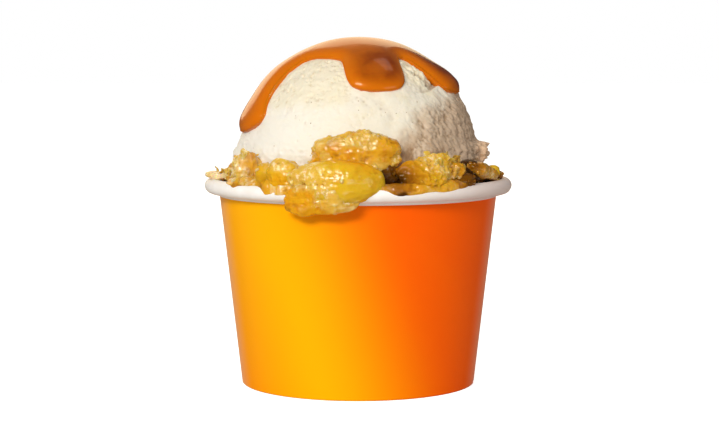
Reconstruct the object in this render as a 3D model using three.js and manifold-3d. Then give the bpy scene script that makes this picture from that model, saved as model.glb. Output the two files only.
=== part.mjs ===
// A paper tub of warm caramel apple cobbler under one scoop of vanilla ice cream with caramel sauce.
// Millimetres, +Z up. The origin is the middle of the tub's foot on the table and the front faces -Y.
// Bearings are degrees round the tub, from the front (-Y) towards the right (+X).
import * as THREE from "three";
import { mergeVertices } from "three/addons/utils/BufferGeometryUtils.js";
import Module from "manifold-3d";

const wasm = await Module();
wasm.setup();

// The tub: a 95 mm paper tub with a tapered wall, a rolled rim and a recessed base disc.
const RIM_RADIUS = 47.5;
const TUB_HEIGHT = 63.7;
const FOOT_RADIUS = 36.15;
const WALL_TAPER = 0.1152; // growth of the wall's radius for each mm of height
const PAPER = 0.5;
const ROLL_HEIGHT = 4.6;
const ROLL_TURN = 315; // degrees that the rim's paper rolls through
const RECESS = 5; // height of the base disc's underside over the table
const FOLD_HEIGHT = 4.2; // the wall's lower edge, folded up inside round the base disc's skirt
const PAPER_GAP = 0.12;
const TUB_SIDES = 48;

// The scoop: a ball of this radius round this height, spread at its foot.
const SCOOP_RADIUS = 36.6;
const SCOOP_HEIGHT = 67.9;
const SCOOP_FOOT = -16; // elevation, in degrees, where the ball ends and its sunken underside begins
const SCOOP_BOTTOM = 56.8;
const SCOOP_COLUMNS = 48;
const SCOOP_SPREAD = 2; // how much wider the ball is at its foot
const SCOOP_CAP_ROWS = 6; // rows from the top down to SCOOP_SHOULDER
const SCOOP_FOOT_ROWS = 9; // rows from there down to SCOOP_FOOT
const SCOOP_SHOULDER = 26;

// The sauce: a cap on the scoop with drips, each a bearing, a half width and the elevation of its tip.
const SAUCE_THICKNESS = 2;
const SAUCE_LIP = 0.7; // thickness at its very outline
const SAUCE_EDGE = 3.4; // how far in from its outline the sauce reaches full thickness
const SAUCE_SHORE = 60; // elevation of the outline between the drips
const SAUCE_WAVE = 1.5; // how far the outline rises and falls between them
const SAUCE_DRIPS = [
  { bearing: -76, half: 18.5, tip: 15.5, steep: 8, bulb: 0.1 },
  { bearing: 12.5, half: 22.5, tip: 37.3, steep: 4, bulb: 0.1 },
  { bearing: 77.5, half: 23.5, tip: 35.2, steep: 5, bulb: 1.1 },
  { bearing: 131, half: 13, tip: 22, steep: 6, bulb: 0.6 },
  { bearing: 174, half: 17, tip: 43, steep: 6, bulb: 0.1 },
  { bearing: 219, half: 14, tip: 14, steep: 7, bulb: 0.6 },
];

// Pieces that touch are kept this far apart.
const GAP = 0.3;
const BED_TOP = 61.2;
const LUMP_TAPER = 0.25; // how much slimmer a lump is at its ends

const radians = (degrees) => (degrees * Math.PI) / 180;
const clamp01 = (t) => Math.min(1, Math.max(0, t));
const smooth = (t) => clamp01(t) ** 2 * (3 - 2 * clamp01(t));
const hump = (t) => Math.exp(-t * t);
const wallRadius = (z) => FOOT_RADIUS + WALL_TAPER * z;

// Difference of two bearings, from -180 to 180 degrees.
const turnBetween = (a, b) => ((((a - b) % 360) + 540) % 360) - 180;

// Smooth unevenness from -1 to 1: six sine waves in scattered directions, each finer than the last.
function swell([x, y, z], size, seed) {
  let total = 0;
  for (let i = 0; i < 6; i += 1) {
    const a = 2.399963 * (i + 1) + seed;
    const b = 1.324718 * (i + 1) ** 2 + 0.7 * seed;
    const finer = 1 + 0.35 * i;
    const across = (x * Math.cos(a) + y * Math.sin(a)) * Math.sin(b) + z * Math.cos(b);
    total += Math.sin((across * finer) / size + 1.7 * i + seed) / finer;
  }
  return total / 2.4;
}

// A closed mesh of rings between two end points; pointAt(column share, row) gives [x, y, z].
function ringedShell(columns, rows, first, pointAt, last) {
  const position = [...first];
  const index = [];
  const vertex = (row, column) => 1 + row * columns + (column % columns);
  for (let row = 0; row < rows; row += 1)
    for (let column = 0; column < columns; column += 1)
      position.push(...pointAt(column / columns, row));
  position.push(...last);
  const end = 1 + rows * columns;
  for (let column = 0; column < columns; column += 1) {
    index.push(0, vertex(0, column), vertex(0, column + 1));
    index.push(end, vertex(rows - 1, column + 1), vertex(rows - 1, column));
    for (let row = 0; row + 1 < rows; row += 1) {
      const [a, b] = [vertex(row, column), vertex(row, column + 1)];
      const [c, d] = [vertex(row + 1, column), vertex(row + 1, column + 1)];
      index.push(a, c, b, b, c, d);
    }
  }
  const shell = new THREE.BufferGeometry();
  shell.setAttribute("position", new THREE.Float32BufferAttribute(position, 3));
  shell.setIndex(index);
  return shell;
}

function solidOf(geometry) {
  const bare = geometry.clone();
  bare.deleteAttribute("normal");
  bare.deleteAttribute("uv");
  const merged = mergeVertices(bare, 1e-4);
  return new wasm.Manifold(
    new wasm.Mesh({
      numProp: 3,
      vertProperties: new Float32Array(merged.attributes.position.array),
      triVerts: new Uint32Array(merged.index.array),
    }),
  );
}

// The largest body of a solid, as a three.js geometry, without the loose scraps that a cut can leave.
function geometryOf(solid) {
  const largest = solid.decompose().reduce((a, b) => (a.volume() > b.volume() ? a : b));
  const cut = largest.getMesh();
  const geometry = new THREE.BufferGeometry();
  const position = new Float32Array(cut.vertProperties);
  geometry.setAttribute("position", new THREE.BufferAttribute(position, 3));
  geometry.setIndex([...cut.triVerts]);
  return geometry;
}

// A profile of [radius, height] pairs, turned round the tub's axis.
function turned(profile) {
  const points = profile.map(([radius, height]) => new THREE.Vector2(radius, height));
  return new THREE.LatheGeometry(points, TUB_SIDES).rotateX(Math.PI / 2);
}

// The wall's paper: up the outside, round inside the rim's roll and back over it, down the inside, and
// folded in at the foot. grow thickens the paper inwards.
function wallProfile(grow) {
  const paper = PAPER + grow;
  const inner = (z) => wallRadius(z) - paper;
  const rollWidth = (RIM_RADIUS - wallRadius(TUB_HEIGHT - ROLL_HEIGHT / 2) + PAPER) / 2;
  const rollRadius = RIM_RADIUS - rollWidth;
  const rollLevel = TUB_HEIGHT - ROLL_HEIGHT / 2;
  const onRoll = (degrees, width, height) => [
    rollRadius + width * Math.cos(radians(degrees)),
    rollLevel + height * Math.sin(radians(degrees)),
  ];
  const face = (steps, offset, from, to) =>
    Array.from({ length: steps + 1 }, (_, i) =>
      onRoll(from + ((to - from) * i) / steps, rollWidth + offset, ROLL_HEIGHT / 2 + offset),
    );
  const end = 180 - ROLL_TURN;
  return { inner, face, end, rollLevel };
}

function tubWall() {
  const { inner, face, end, rollLevel } = wallProfile(0);
  const foldInner = FOOT_RADIUS - 3 * PAPER - 2 * PAPER_GAP;
  const profile = [
    [foldInner, 0],
    [wallRadius(0), 0],
    [wallRadius(rollLevel), rollLevel],
    ...face(5, -PAPER, 180, end).slice(1),
    ...face(8, 0, end, 180),
    [inner(PAPER), PAPER],
    [foldInner + PAPER, PAPER],
    [foldInner + PAPER + WALL_TAPER * FOLD_HEIGHT, FOLD_HEIGHT],
    [foldInner + WALL_TAPER * FOLD_HEIGHT, FOLD_HEIGHT],
    [foldInner, 0],
  ];
  return turned(profile);
}

// The base: a flat disc with a skirt that hangs down between the wall and its fold.
function tubBase() {
  const skirtOuter = (z) => wallRadius(z) - PAPER - PAPER_GAP;
  const skirtFoot = PAPER + PAPER_GAP;
  const top = RECESS + PAPER;
  return turned([
    [0, RECESS],
    [skirtOuter(RECESS) - PAPER, RECESS],
    [skirtOuter(skirtFoot) - PAPER, skirtFoot],
    [skirtOuter(skirtFoot), skirtFoot],
    [skirtOuter(top), top],
    [0, top],
  ]);
}

// The space that the tub takes, grown by a gap, as a solid band for fitting food to its rim and wall.
function tubSpace(gap) {
  const { inner, face, end } = wallProfile(gap);
  const outer = (z) => wallRadius(z) + gap;
  const low = TUB_HEIGHT - ROLL_HEIGHT - 12;
  const faceted = gap + 0.12;
  return solidOf(
    turned([
      [inner(low), low],
      [outer(low), low],
      [outer(TUB_HEIGHT - ROLL_HEIGHT), TUB_HEIGHT - ROLL_HEIGHT - gap],
      ...face(6, faceted, end, 180),
      [inner(low), low],
    ]),
  );
}

// Distance of the scoop's surface from its middle, for a bearing and an elevation.
function scoopRadius(bearing, elevation) {
  const right = hump(turnBetween(bearing, 90) / 24);
  const spread = SCOOP_SPREAD * smooth((SCOOP_SHOULDER - elevation) / 30) * (1 - right);
  const flatSide = -0.5 * hump(turnBetween(bearing, 78) / 30) * hump((elevation - 20) / 12);
  const skirt = 3.2 * right * smooth((12.5 - elevation) / 4) * smooth((elevation - 0.5) / 3);
  const lip = 0.8 * smooth((43 - elevation) / 5) * hump((elevation - 26) / 18);
  const lipSide = smooth((bearing - 44 - 0.35 * elevation) / 7) * hump(turnBetween(bearing, 74) / 24);
  const hollow = -0.7 * hump(turnBetween(bearing, 42) / 12) * hump((elevation - 50) / 9);
  const spot = fromScoop(bearing, elevation, SCOOP_RADIUS);
  const uneven = 0.28 * swell(spot, 7, 2.1);
  const ragged = 0.7 * Math.abs(swell(spot, 2.6, 5.3)) * smooth((12 - elevation) / 12);
  return SCOOP_RADIUS + spread + flatSide + skirt + lip * lipSide + hollow + uneven + ragged;
}

function fromScoop(bearing, elevation, radius) {
  const out = radius * Math.cos(radians(elevation));
  return [
    out * Math.sin(radians(bearing)),
    -out * Math.cos(radians(bearing)),
    SCOOP_HEIGHT + radius * Math.sin(radians(elevation)),
  ];
}

// The scoop, grown by a gap, with its underside sunk a little way into the cobbler.
function scoop(gap) {
  const rows = SCOOP_CAP_ROWS + SCOOP_FOOT_ROWS;
  const bottom = SCOOP_BOTTOM - gap;
  const at = (share, row) => {
    const bearing = 360 * share;
    const below = Math.max(0, row + 1 - SCOOP_CAP_ROWS) / SCOOP_FOOT_ROWS;
    const above = Math.min(1, (row + 1) / SCOOP_CAP_ROWS);
    if (row < rows) {
      const elevation = 90 - (90 - SCOOP_SHOULDER) * above - (SCOOP_SHOULDER - SCOOP_FOOT) * below;
      return fromScoop(bearing, elevation, scoopRadius(bearing, elevation) + gap);
    }
    const foot = fromScoop(bearing, SCOOP_FOOT, scoopRadius(bearing, SCOOP_FOOT) + gap);
    return [foot[0] * 0.72, foot[1] * 0.72, bottom];
  };
  const top = fromScoop(0, 90, scoopRadius(0, 90) + gap);
  return ringedShell(SCOOP_COLUMNS, rows + 1, top, at, [0, 0, bottom]);
}

// Elevation of the sauce's outline at a bearing: a shore line with steep-sided, round-ended drips.
function sauceOutline(bearing) {
  const shore = SAUCE_SHORE + SAUCE_WAVE * Math.sin(radians(4 * bearing + 250));
  return SAUCE_DRIPS.reduce((level, { bearing: middle, half, tip, steep }) => {
    const t = turnBetween(bearing, middle) / half;
    const plateau = 0.5 * (Math.tanh((1 + t) * steep) + Math.tanh((1 - t) * steep));
    return level - (shore - tip) * plateau * (1 - 0.16 * t * t);
  }, shore);
}

// The sauce: from inside the scoop out to its own skin, cut back to lie on the scoop.
function sauce() {
  const columns = 80;
  const capRows = [82, 72];
  const rows = capRows.length + 4;
  const fine = 1440;
  const track = Array.from({ length: fine }, (_, i) => (360 * i) / fine);
  const shoreline = track.map((bearing) => fromScoop(bearing, sauceOutline(bearing), SCOOP_RADIUS));
  const lengths = [0];
  for (let i = 1; i <= fine; i += 1) {
    const [a, b] = [shoreline[i - 1], shoreline[i % fine]];
    lengths.push(lengths[i - 1] + Math.hypot(a[0] - b[0], a[1] - b[1], a[2] - b[2]));
  }
  // Bearings evenly spaced along the outline's own length, so that a drip's steep sides get enough of them.
  const bearings = Array.from({ length: columns }, (_, column) => {
    const wanted = (lengths[fine] * column) / columns;
    const after = Math.max(1, lengths.findIndex((length) => length >= wanted));
    const share = (wanted - lengths[after - 1]) / (lengths[after] - lengths[after - 1]);
    return (360 * (after - 1 + share)) / fine;
  });
  const inFromShore = (point) =>
    shoreline.reduce(
      (least, [x, y, z]) => Math.min(least, Math.hypot(point[0] - x, point[1] - y, point[2] - z)),
      Infinity,
    );
  const thickness = (bearing, elevation) => {
    const t = clamp01(inFromShore(fromScoop(bearing, elevation, SCOOP_RADIUS)) / SAUCE_EDGE);
    const bulbs = SAUCE_DRIPS.reduce(
      (most, { bearing: middle, tip, bulb }) =>
        most + bulb * hump(turnBetween(bearing, middle) / 14) * hump((elevation - tip - 8) / 9),
      0,
    );
    return SAUCE_LIP + (SAUCE_THICKNESS - SAUCE_LIP + bulbs) * (1 - (1 - t) ** 2.2) ** 0.5;
  };
  const skin = (columnShare, row) => {
    const bearing = bearings[Math.round(columnShare * columns)];
    const low = sauceOutline(bearing);
    if (row === rows) return fromScoop(bearing, low, SCOOP_RADIUS - 4);
    const capEnd = capRows[capRows.length - 1];
    const below = (row + 1 - capRows.length) / (rows - capRows.length);
    const elevation = row < capRows.length ? capRows[row] : capEnd - (capEnd - low) * below;
    const under = scoopRadius(bearing, elevation) + GAP;
    return fromScoop(bearing, elevation, under + thickness(bearing, elevation));
  };
  const top = fromScoop(0, 90, scoopRadius(0, 90) + GAP + SAUCE_THICKNESS);
  const body = ringedShell(columns, rows + 1, top, skin, [0, 0, SCOOP_HEIGHT]);
  return geometryOf(solidOf(body).subtract(solidOf(scoop(GAP))));
}

// A lump of food in its own frame: x to its right, y inwards, z up. half is half of its length, depth and
// height, square is 2 for an egg and more for a block, and a knob is a direction, a height and a width.
function lump(piece, grow) {
  const { half, square = 2.2, curl = 0, rough = 0.08, grain = 4, seed, knobs = [] } = piece;
  const geometry = new THREE.IcosahedronGeometry(1, piece.detail ?? 2);
  const position = geometry.attributes.position;
  const spot = new THREE.Vector3();
  for (let i = 0; i < position.count; i += 1) {
    spot.fromBufferAttribute(position, i).normalize();
    const powers = [spot.x, spot.y, spot.z].map((value) => Math.abs(value) ** square);
    const reach = (powers[0] + powers[1] + powers[2]) ** (-1 / square);
    const knob = knobs.reduce((sum, { toward, high, wide }) => {
      const apart = spot.angleTo(new THREE.Vector3(...toward));
      return sum + high * hump(apart / wide);
    }, 1);
    spot.multiplyScalar(reach * knob);
    const along = spot.x;
    const slim = 1 - LUMP_TAPER * Math.min(1, along * along);
    spot.set(along * half[0], spot.y * slim * half[1], spot.z * slim * half[2]);
    const swollen = 1 + rough * swell([spot.x, spot.y, spot.z], grain, seed) + grow / spot.length();
    spot.multiplyScalar(swollen);
    spot.y += curl * along * along;
    position.setXYZ(i, spot.x, spot.y, spot.z);
  }
  return geometry;
}

// Puts a lump at a bearing, a distance from the tub's axis and a height. tilt raises its right end and lean
// its back.
function placed(geometry, { bearing, out, height, tilt = 0, lean = 0 }) {
  const own = new THREE.Euler(radians(lean), radians(-tilt), 0, "ZYX");
  const whole = new THREE.Matrix4()
    .makeRotationZ(radians(bearing))
    .multiply(new THREE.Matrix4().makeTranslation(0, -out, height))
    .multiply(new THREE.Matrix4().makeRotationFromEuler(own));
  return geometry.applyMatrix4(whole);
}

const FRUIT = { color: 0xc9a227, roughness: 0.25 };
const CRUST = { color: 0xc98f3c, roughness: 0.45 };

// The pieces that show round the scoop, the front first and then on round the tub to the left.
const PIECES = [
  {
    name: "front_apple_wedge",
    look: FRUIT, bearing: -7.8, out: 45.2, height: 65, half: [13.8, 5.6, 6.6], square: 2.5,
    curl: 2.4, tilt: 3, rough: 0.04, grain: 6, seed: 1.3, detail: 3,
  },
  {
    name: "upper_crust_chunk",
    look: CRUST, bearing: -1.5, out: 40.2, height: 72.6, half: [12, 5, 6.4], square: 3, curl: 2,
    tilt: 1, rough: 0.14, grain: 2.9, seed: 2.2, detail: 3,
    knobs: [
      { toward: [0.85, -0.3, -0.5], high: 0.28, wide: 0.5 },
      { toward: [0.1, -0.2, 1], high: 0.1, wide: 0.5 },
    ],
  },
  {
    name: "front_soaked_crust",
    look: CRUST, bearing: -13, out: 46.8, height: 61, half: [10.4, 3.7, 5], curl: 1.2, tilt: 4,
    rough: 0.16, grain: 2.5, seed: 3.7, detail: 3,
    knobs: [
      { toward: [-0.6, -0.2, -0.7], high: 0.2, wide: 0.5 },
      { toward: [0.5, -0.3, -0.8], high: 0.18, wide: 0.4 },
    ],
  },
  {
    name: "front_left_apple_lump",
    look: FRUIT, bearing: -29.5, out: 43.6, height: 66, half: [5.4, 4.4, 5.6], square: 2.6,
    rough: 0.12, grain: 2.8, seed: 4.1,
    knobs: [
      { toward: [-0.3, -0.2, 0.9], high: 0.16, wide: 0.4 },
    ],
  },
  {
    name: "right_glazed_apple",
    look: FRUIT, bearing: 27.5, out: 42.4, height: 65.8, half: [9.6, 4.8, 5.9], square: 2.5,
    curl: 1, tilt: 2, rough: 0.09, grain: 3.6, seed: 5.6, detail: 3,
    knobs: [
      { toward: [0.45, -0.2, 0.85], high: 0.32, wide: 0.35 },
      { toward: [-0.7, -0.3, 0.6], high: 0.12, wide: 0.4 },
    ],
  },
  {
    name: "right_toasted_crust",
    look: CRUST, bearing: 40, out: 42.8, height: 67, half: [4.2, 3.4, 3.6], square: 2.8,
    tilt: -15, rough: 0.19, grain: 2.2, seed: 6.4,
  },
  {
    name: "left_folded_crust",
    look: CRUST, bearing: -54, out: 41, height: 66.8, half: [5, 3.8, 5.4], square: 2.6,
    rough: 0.17, grain: 2.4, seed: 7.9, detail: 3,
    knobs: [
      { toward: [0.75, -0.2, 0.75], high: 0.45, wide: 0.36 },
      { toward: [0.7, -0.75, 0], high: -0.3, wide: 0.4 },
    ],
  },
  {
    name: "left_apple_cube",
    look: FRUIT, bearing: -38.8, out: 43.4, height: 66.6, half: [3, 3, 3.5], rough: 0.08,
    grain: 2.8, seed: 8.2,
  },
  {
    name: "right_small_apple",
    look: FRUIT, bearing: 44.5, out: 43.8, height: 64, half: [4.8, 3, 2.9], rough: 0.08,
    grain: 3, seed: 9.5,
  },
  {
    name: "right_crust_flap",
    look: CRUST, bearing: 63, out: 41.6, height: 66, half: [8, 3.6, 2.4], square: 2.8, tilt: -14,
    rough: 0.19, grain: 2.4, seed: 10.1,
    knobs: [
      { toward: [-0.8, -0.2, 0.6], high: 0.25, wide: 0.4 },
    ],
  },
  {
    name: "right_glazed_bead",
    look: FRUIT, bearing: 73.5, out: 42.4, height: 66, half: [2.4, 2.4, 2.3], rough: 0.05,
    seed: 11.2, detail: 1,
  },
  {
    name: "right_rim_crumb",
    look: CRUST, bearing: 82, out: 43.2, height: 64.9, half: [2.2, 1.8, 1.3], rough: 0.2,
    grain: 1.4, seed: 12.4, detail: 1,
  },
  {
    name: "left_crumb_bank",
    look: CRUST, bearing: -50, out: 44.2, height: 63.9, half: [7.4, 2.4, 1.8], curl: 1,
    rough: 0.23, grain: 1.7, seed: 13.8,
  },
  {
    name: "left_thin_flake",
    look: CRUST, bearing: -78, out: 43.2, height: 64.6, half: [4.4, 4.4, 1.4], lean: -4,
    rough: 0.26, grain: 1.9, seed: 14.6,
  },
  {
    name: "front_hollow_crust",
    look: CRUST, bearing: 10.5, out: 40.6, height: 66, half: [4, 3, 4.6], square: 2.8,
    rough: 0.18, grain: 2.1, seed: 25.3, detail: 1,
  },
  {
    name: "right_hollow_crust",
    look: CRUST, bearing: 54, out: 39.8, height: 66.6, half: [4.6, 3, 3.4], square: 2.8,
    rough: 0.18, grain: 2, seed: 26.7, detail: 1,
  },
  {
    name: "back_right_crumb",
    look: CRUST, bearing: 101, out: 40.6, height: 63.4, half: [5, 3.2, 2.4], square: 2.6,
    rough: 0.2, grain: 2, seed: 15.9, detail: 1,
  },
  {
    name: "back_right_apple",
    look: FRUIT, bearing: 119, out: 41.4, height: 65, half: [7.4, 4.2, 4.4], curl: 0.8,
    rough: 0.07, grain: 4, seed: 16.3,
  },
  {
    name: "back_crust_corner",
    look: CRUST, bearing: 137, out: 42.2, height: 67, half: [5.6, 4.2, 5.2], square: 3, tilt: 20,
    rough: 0.19, grain: 2.4, seed: 17.4,
  },
  {
    name: "back_apple_wedge",
    look: FRUIT, bearing: 157, out: 45.6, height: 65.4, half: [11.4, 5.2, 5.2], curl: 2,
    tilt: -4, rough: 0.05, grain: 5, seed: 18.8, detail: 3,
  },
  {
    name: "back_high_crust",
    look: CRUST, bearing: 176, out: 40.2, height: 71, half: [9.4, 4.6, 5.6], square: 2.8,
    curl: 1.4, tilt: 6, rough: 0.17, grain: 2.7, seed: 19.1,
    knobs: [
      { toward: [-0.7, -0.3, -0.6], high: 0.25, wide: 0.5 },
    ],
  },
  {
    name: "back_apple_lump",
    look: FRUIT, bearing: 187, out: 45.8, height: 64.8, half: [6.4, 4.4, 4.2], rough: 0.08,
    grain: 3.4, seed: 20.7,
  },
  {
    name: "back_soaked_crust",
    look: CRUST, bearing: 206, out: 42.8, height: 66.2, half: [7.6, 4.6, 5.4], square: 2.6,
    tilt: -10, rough: 0.19, grain: 2.5, seed: 21.2,
  },
  {
    name: "back_apple_cube",
    look: FRUIT, bearing: 225, out: 43.2, height: 65.2, half: [5, 4, 4], square: 2.8, tilt: 12,
    rough: 0.07, grain: 3.4, seed: 22.6,
  },
  {
    name: "back_left_crust",
    look: CRUST, bearing: 242, out: 41.8, height: 64.8, half: [7, 4, 3.8], square: 2.6, tilt: 8,
    rough: 0.2, grain: 2.2, seed: 23.9,
  },
  {
    name: "back_left_apple",
    look: FRUIT, bearing: 260, out: 40.8, height: 63.4, half: [5.2, 3.4, 2.6], rough: 0.08,
    grain: 3, seed: 24.5, detail: 1,
  },
];

// The bed of cobbler that fills the tub, grown upwards by a gap, with an uneven top that the scoop hollows.
function bed(gap) {
  const columns = 28;
  const foot = RECESS + PAPER + GAP;
  const wall = (z) => wallRadius(z) - PAPER - GAP;
  const rings = [
    [0.6, foot],
    [1, foot],
    [1, BED_TOP - 1],
    [0.9, BED_TOP],
    [0.6, BED_TOP],
  ].reverse();
  const at = (share, row) => {
    const [reach, z] = rings[row];
    const radius = wall(z) * reach;
    const [x, y] = [radius * Math.sin(2 * Math.PI * share), -radius * Math.cos(2 * Math.PI * share)];
    return [x, y, z >= BED_TOP ? z + gap + 0.8 * swell([x, y, z], 3.2, 20.5) : z];
  };
  const whole = solidOf(ringedShell(columns, rings.length, [0, 0, BED_TOP + gap], at, [0, 0, foot]));
  return geometryOf(whole.subtract(solidOf(scoop(GAP))));
}

function node(name, geometry, look) {
  const mesh = new THREE.Mesh(geometry, new THREE.MeshStandardMaterial({ metalness: 0, ...look }));
  mesh.name = name;
  return mesh;
}

const group = new THREE.Group();
group.add(node("tub_wall", tubWall(), { color: 0xf77f00, roughness: 0.35 }));
group.add(node("tub_base", tubBase(), { color: 0xf4f1ea, roughness: 0.5 }));
group.add(node("cobbler_bed", bed(0), { color: 0xb9822e, roughness: 0.35 }));
group.add(node("ice_cream_scoop", scoop(0), { color: 0xf6efdc, roughness: 0.6 }));
group.add(node("caramel_sauce", sauce(), { color: 0xb9560a, roughness: 0.1 }));

// Each piece gives way to the scoop, the tub, the bed and the pieces placed before it.
const taken = [solidOf(scoop(GAP)), tubSpace(GAP), solidOf(bed(GAP))];
for (const piece of PIECES) {
  const whole = solidOf(placed(lump(piece, 0), piece));
  const fitted = taken.reduce((rest, other) => rest.subtract(other), whole);
  group.add(node(piece.name, geometryOf(fitted), piece.look));
  taken.push(solidOf(placed(lump(piece, GAP), piece)));
}

export default group;
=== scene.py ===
"""A paper tub of warm caramel cobbler under a ball of vanilla ice cream with caramel sauce."""

import math

import bpy
import numpy as np
from bpy.props import FloatProperty, FloatVectorProperty, IntProperty, PointerProperty
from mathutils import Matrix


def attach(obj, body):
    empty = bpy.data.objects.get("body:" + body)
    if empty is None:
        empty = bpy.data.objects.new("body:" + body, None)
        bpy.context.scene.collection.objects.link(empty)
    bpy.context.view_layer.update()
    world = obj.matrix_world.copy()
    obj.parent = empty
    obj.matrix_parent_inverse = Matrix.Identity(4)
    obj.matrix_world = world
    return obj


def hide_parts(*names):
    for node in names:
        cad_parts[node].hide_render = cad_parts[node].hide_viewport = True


bl_info = {
    "name": "Cobbler Tub",
    "version": (1, 0, 0),
    "blender": (4, 5, 0),
    "location": "View3D > Sidebar > Cobbler",
    "description": "Builds a paper tub of cobbler with ice cream and caramel sauce",
    "category": "Object",
}

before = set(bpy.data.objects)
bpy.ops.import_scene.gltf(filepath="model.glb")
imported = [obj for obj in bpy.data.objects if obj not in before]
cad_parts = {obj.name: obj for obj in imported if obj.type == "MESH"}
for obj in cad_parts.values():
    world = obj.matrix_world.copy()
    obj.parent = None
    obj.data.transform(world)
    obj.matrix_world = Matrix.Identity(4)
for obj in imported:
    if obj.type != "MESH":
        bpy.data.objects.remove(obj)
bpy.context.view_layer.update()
MM = 0.001


# Sizes of the tub, in millimetres
RIM_RADIUS = 47.5
TUB_HEIGHT = 63.7
FOOT_RADIUS = 36.15
WALL_TAPER = 0.1152
PAPER = 0.5
ROLL_HEIGHT = 4.6
ROLL_TURN = 315
RECESS = 5
FOLD_HEIGHT = 4.2
PAPER_GAP = 0.12

# Sizes of the scoop and its sauce, in millimetres and degrees
SCOOP_RADIUS = 36.6
SCOOP_HEIGHT = 67.9
SCOOP_FOOT = -16
SCOOP_BOTTOM = 56.8
SCOOP_SPREAD = 2
SCOOP_SHOULDER = 26
SAUCE_THICKNESS = 2
SAUCE_EDGE = 4.4
SAUCE_SHORE = 60
SAUCE_WAVE = 1.5
GAP = 0.3
BED_TOP = 61.2
LUMP_TAPER = 0.25

# The camera as the photograph was fitted, in metres and radians, with the stage round it
SENSOR_WIDTH = 36
LENS = 92.91
LENS_SHIFT = 0.00174
CAMERA_PLACE = (0, -0.57431, 0.10138)
CAMERA_DIP = 0.0887
FLOOR_HALF = 6.0
LIGHT_AIM = (0, 0, 0.07)
ROOM = (1, 0.97, 0.93, 1)

# The pool of syrup in millimetres, and counts of points, crumbs and facets
POOL_INNER = 36.5
POOL_OUTER = 43
POOL_HEIGHT = 62.4
POOL_FLOOR = 61.3
BED_COLUMNS = 420
SYRUP_COLUMNS = 1000
CRUMBS_ON_PIECE = 40
CRUMBS_IN_SYRUP = 900
CRUMB_SIDES = 7
FLAKE_SIDES = 20

# Distance between the shader nodes as drawn in their editor
NODE_SPACING = 180

# Each drip of sauce: bearing, half width, elevation of the tip, steepness of the sides, bulge at the tip
SAUCE_DRIPS = (
    (-75.5, 19, 15.5, 4.5, 0.7),
    (12.3, 22.2, 38.4, 5, 0.1),
    (78.5, 22.6, 35.2, 5, 1.1),
    (131, 13, 22, 6, 0.6),
    (174, 17, 43, 6, 0.1),
    (219, 14, 14, 7, 0.6),
)

# Each run of syrup over the rim: bearing, half width, how far it gets and how softly it ends at its sides
SYRUP_RUNS = (
    (23, 32, 0.95, 22), (-24, 14, 1, 9), (-43, 23, 0.7, 9), (80, 14, 0.2, 9), (150, 24, 0.9, 9),
    (205, 18, 0.7, 9), (250, 14, 0.5, 9),
)


class Lump:
    """A piece of food: its node, kind, bearing, distance from the axis, height, half sizes and shape."""

    # Shade and the dark spots are painted shade, where a piece sits in a hollow or crease or against its
    # neighbours.
    square, curl, tilt, lean, rough, grain, shade = 2.2, 0, 0, 0, 0.08, 4, 0.1
    cream = flakes = craggy = 0
    knobs = crumbly = amber = painted_shade_spots = ()

    def __init__(self, node, kind, bearing, out, height, half, seed, **shape):
        self.node, self.kind, self.bearing, self.out = node, kind, bearing, out
        self.height, self.half, self.seed = height, half, seed
        vars(self).update(shape)


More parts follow.
